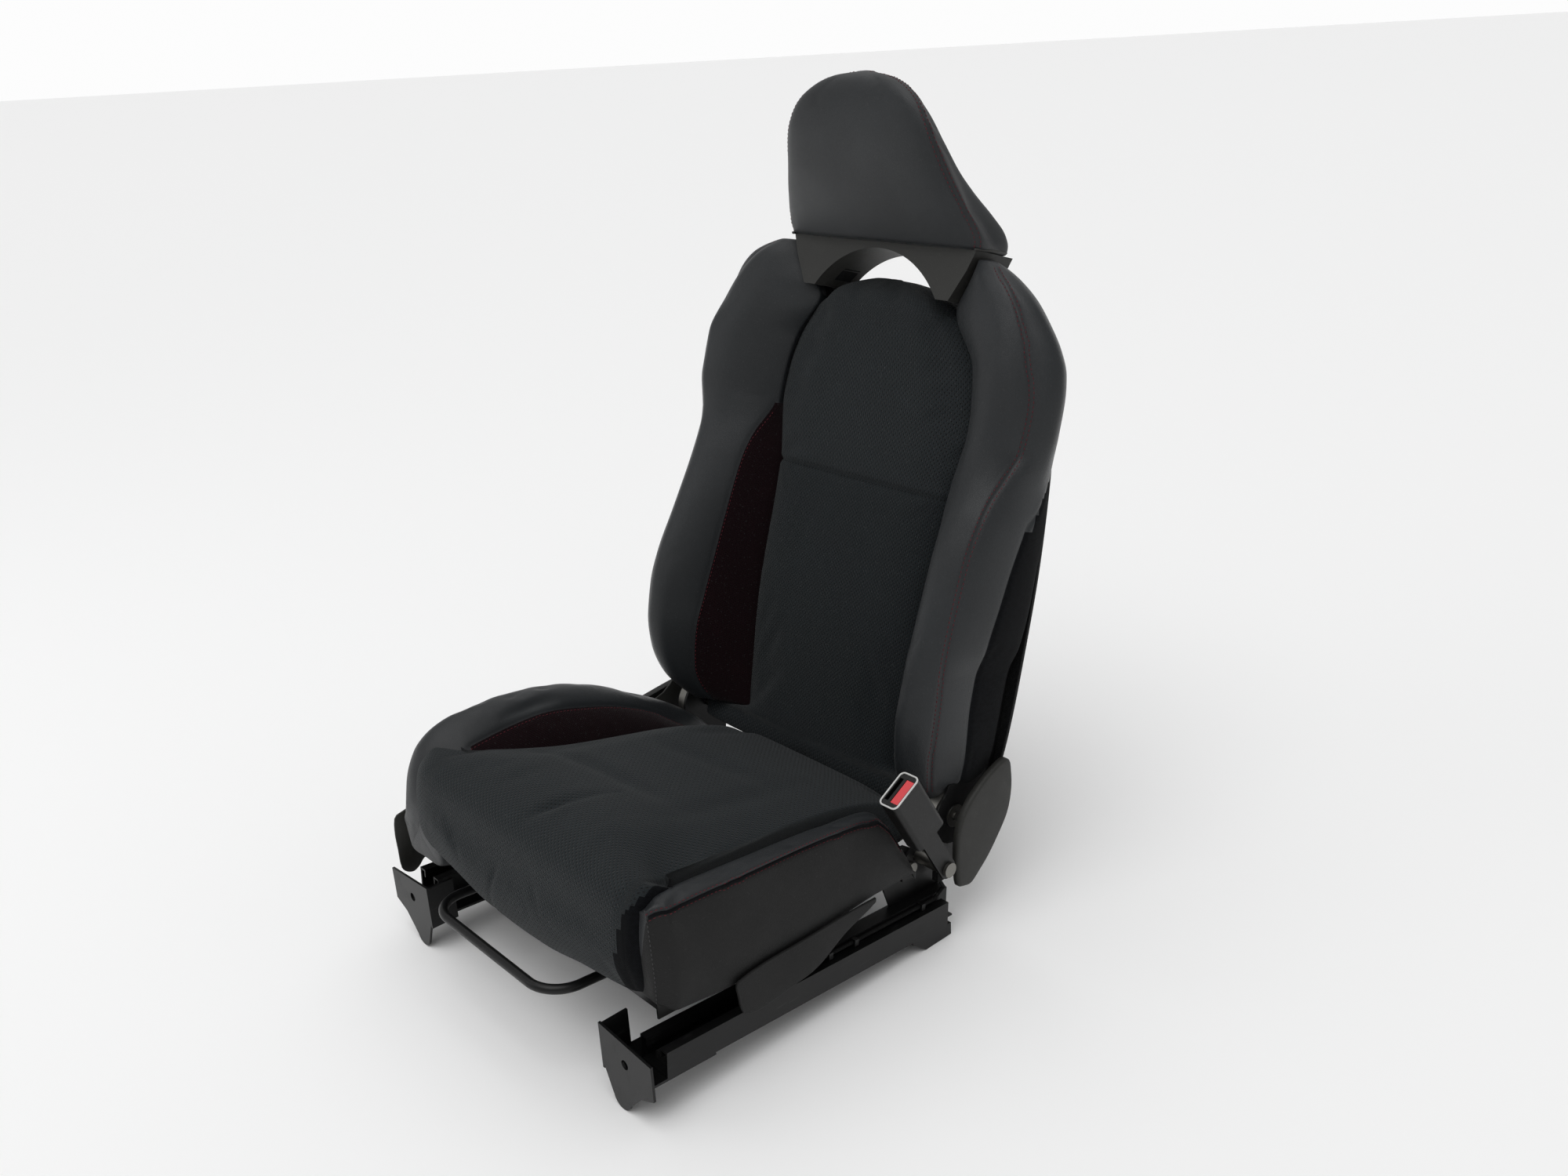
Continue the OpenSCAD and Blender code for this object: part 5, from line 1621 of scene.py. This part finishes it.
@dataclass
class Hardware:
    """The frame, rails, levers and fittings that keep their own shapes."""

    finishes: dict[str, tuple[Finish, float]] = field(
        default_factory=lambda: {
            "lower_rail_left": (BLACK_STEEL, 0.5), "lower_rail_right": (BLACK_STEEL, 0.5),
            "front_foot_left": (BLACK_STEEL, 0.8), "front_foot_right": (BLACK_STEEL, 0.8),
            "rear_foot_left": (BLACK_STEEL, 0.8), "rear_foot_right": (BLACK_STEEL, 0.8),
            "rail_rollers": (PLATED, 0.0), "rail_stops": (RUBBER, 0.6), "foot_rivets": (PLATED, 0.3),
            "upper_rail_left": (RAIL_STEEL, 0.4), "upper_rail_right": (RAIL_STEEL, 0.4),
            "side_frame_left": (BLACK_STEEL, 0.5), "side_frame_right": (BLACK_STEEL, 0.5),
            "front_pan": (BLACK_STEEL, 0.4), "rear_tube": (BLACK_STEEL, 0.3), "seat_springs": (SPRING, 0.0),
            "recliner_arm_left": (BLACK_STEEL, 0.6), "recliner_arm_right": (BLACK_STEEL, 0.6),
            "recliner_disc_left": (PLATED, 0.8), "recliner_disc_right": (PLATED, 0.8),
            "frame_bolts": (PLATED, 0.6),
            "buckle_anchor": (PLATED, 0.5), "seat_lead": (RUBBER, 0.0), "lead_clips": (BLACK_PLASTIC, 0.4),
            "latch_pins": (PLATED, 0.3), "lift_bar": (BLACK_STEEL, 0.0),
            "latch_lever_left": (BLACK_STEEL, 0.5),
            "latch_lever_right": (BLACK_STEEL, 0.5), "recliner_rod": (PLATED, 0.4),
            "back_side_left": (BLACK_STEEL, 0.5),
            "back_side_right": (BLACK_STEEL, 0.5), "back_hoop": (BLACK_STEEL, 0.0),
            "back_cross": (BLACK_STEEL, 0.4),
            "back_springs": (SPRING, 0.0), "headrest_guides": (BLACK_PLASTIC, 0.6),
            "head_posts": (CHROME, 0.0),
            "head_bezel": (GREY_PLASTIC, 1.6), "headrest_button": (BLACK_PLASTIC, 0.6),
            "buckle_stalk": (BLACK_PLASTIC, 0.8),
            "buckle_housing": (BLACK_PLASTIC, 1.4), "buckle_button": (RED_PLASTIC, 0.8),
        }
    )

    def build(self) -> None:
        """Give every carried-over part its finish, and its edges a small radius."""
        nodes = frame["nodes"]
        for name, (finish, radius) in self.finishes.items():
            obj = nodes[name] if isinstance(nodes, dict) else bpy.data.objects[name]
            if not obj.data.materials:
                obj.data.materials.append(finish.material())
            for slot in obj.material_slots:
                slot.material = finish.material()
            if radius:
                edge = obj.modifiers.new("Edge Radius", "BEVEL")
                edge.width = radius * MM
                edge.segments = 2
                edge.limit_method = "ANGLE"
                edge.angle_limit = math.radians(42)
                edge.harden_normals = False
        log.info("%d parts keep their shape", len(self.finishes))


# ---- studio ----


@dataclass
class Studio:
    """Floor, light and camera."""

    place: tuple[float, float, float] = (1.20034, -0.95370, 1.01720)
    right: tuple[float, float, float] = (0.67415939, 0.73666828, -0.05318791)
    up: tuple[float, float, float] = (-0.23820743, 0.28502921, 0.92844793)
    ahead: tuple[float, float, float] = (-0.69911825, 0.61325214, -0.36763498)
    lens: float = 32.624
    ambient: float = 0.42
    backdrop: float = 0.98

    def camera(self) -> None:
        """Stand the camera in front of the seat's buckle side."""
        data = bpy.data.cameras.new("camera")
        data.sensor_width = 36.0
        data.lens = self.lens
        data.clip_end = 50
        obj = bpy.data.objects.new("camera", data)
        bpy.context.scene.collection.objects.link(obj)
        cols = [Vector(self.right), Vector(self.up), -Vector(self.ahead)]
        turn = Matrix((cols[0], cols[1], cols[2])).transposed()
        obj.matrix_world = Matrix.Translation(Vector(self.place)) @ turn.to_4x4()
        bpy.context.scene.camera = obj

    def floor(self) -> None:
        """Lay a pale sweep of floor."""
        mesh = bpy.data.meshes.new("floor")
        half, low = 60, -0.0005
        corners = [(-half, -half, low), (half, -half, low), (half, half, low), (-half, half, low)]
        mesh.from_pydata(corners, [], [(0, 1, 2, 3)])
        obj = bpy.data.objects.new("floor", mesh)
        bpy.context.scene.collection.objects.link(obj)
        made = bpy.data.materials.new("Pale Floor")
        made.use_nodes = True
        shader = made.node_tree.nodes["Principled BSDF"]
        shader.inputs["Base Color"].default_value = (0.94, 0.94, 0.94, 1)
        shader.inputs["Roughness"].default_value = 0.9
        mesh.materials.append(made)

    def light(self, name: str, spot: tuple[float, float, float], size: float, watts: float) -> None:
        """Hang a square soft light that points at the seat."""
        data = bpy.data.lights.new(name, "AREA")
        data.size = size
        data.energy = watts
        obj = bpy.data.objects.new(name, data)
        obj.location = spot
        obj.rotation_euler = (Vector((0, 0, 0.4)) - Vector(spot)).to_track_quat("-Z", "Y").to_euler()
        bpy.context.scene.collection.objects.link(obj)

    def sun(self, name: str, way: tuple[float, float, float], spread: float, strength: float) -> None:
        """Add broad, even light from a direction."""
        data = bpy.data.lights.new(name, "SUN")
        data.angle = math.radians(spread)
        data.energy = strength
        obj = bpy.data.objects.new(name, data)
        obj.rotation_euler = (-Vector(way)).to_track_quat("-Z", "Y").to_euler()
        bpy.context.scene.collection.objects.link(obj)

    def build(self) -> None:
        """Set up the studio."""
        self.camera()
        self.floor()
        world = bpy.data.worlds.new("studio")
        world.use_nodes = True
        back = world.node_tree.nodes["Background"]
        back.inputs[0].default_value = (1.0, 1.0, 1.0, 1)
        graph = Graph(world.node_tree)
        seen = graph.add("ShaderNodeLightPath").outputs["Is Camera Ray"]
        lift = graph.math("MULTIPLY", seen, self.backdrop - self.ambient)
        graph.tree.links.new(graph.math("ADD", self.ambient, lift), back.inputs[1])
        bpy.context.scene.world = world
        bpy.context.scene.view_settings.view_transform = "Standard"
        self.sun("key", (0.35, -0.75, 1.6), 50.0, 1.15)
        self.sun("top", (-0.25, 0.2, 1.0), 70.0, 0.65)
        self.light("front_left", (-1.6, -2.4, 1.6), 1.6, 7)


def main() -> None:
    """Build the seat piece by piece."""
    Studio().build()
    Hardware().build()
    Backrest().build()
    HeadRestraint().build()
    Cushion().build()
    Covers().build()
    Buckle().build()
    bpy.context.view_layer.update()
    log.info("size written")


if __name__ == "__main__":
    main()
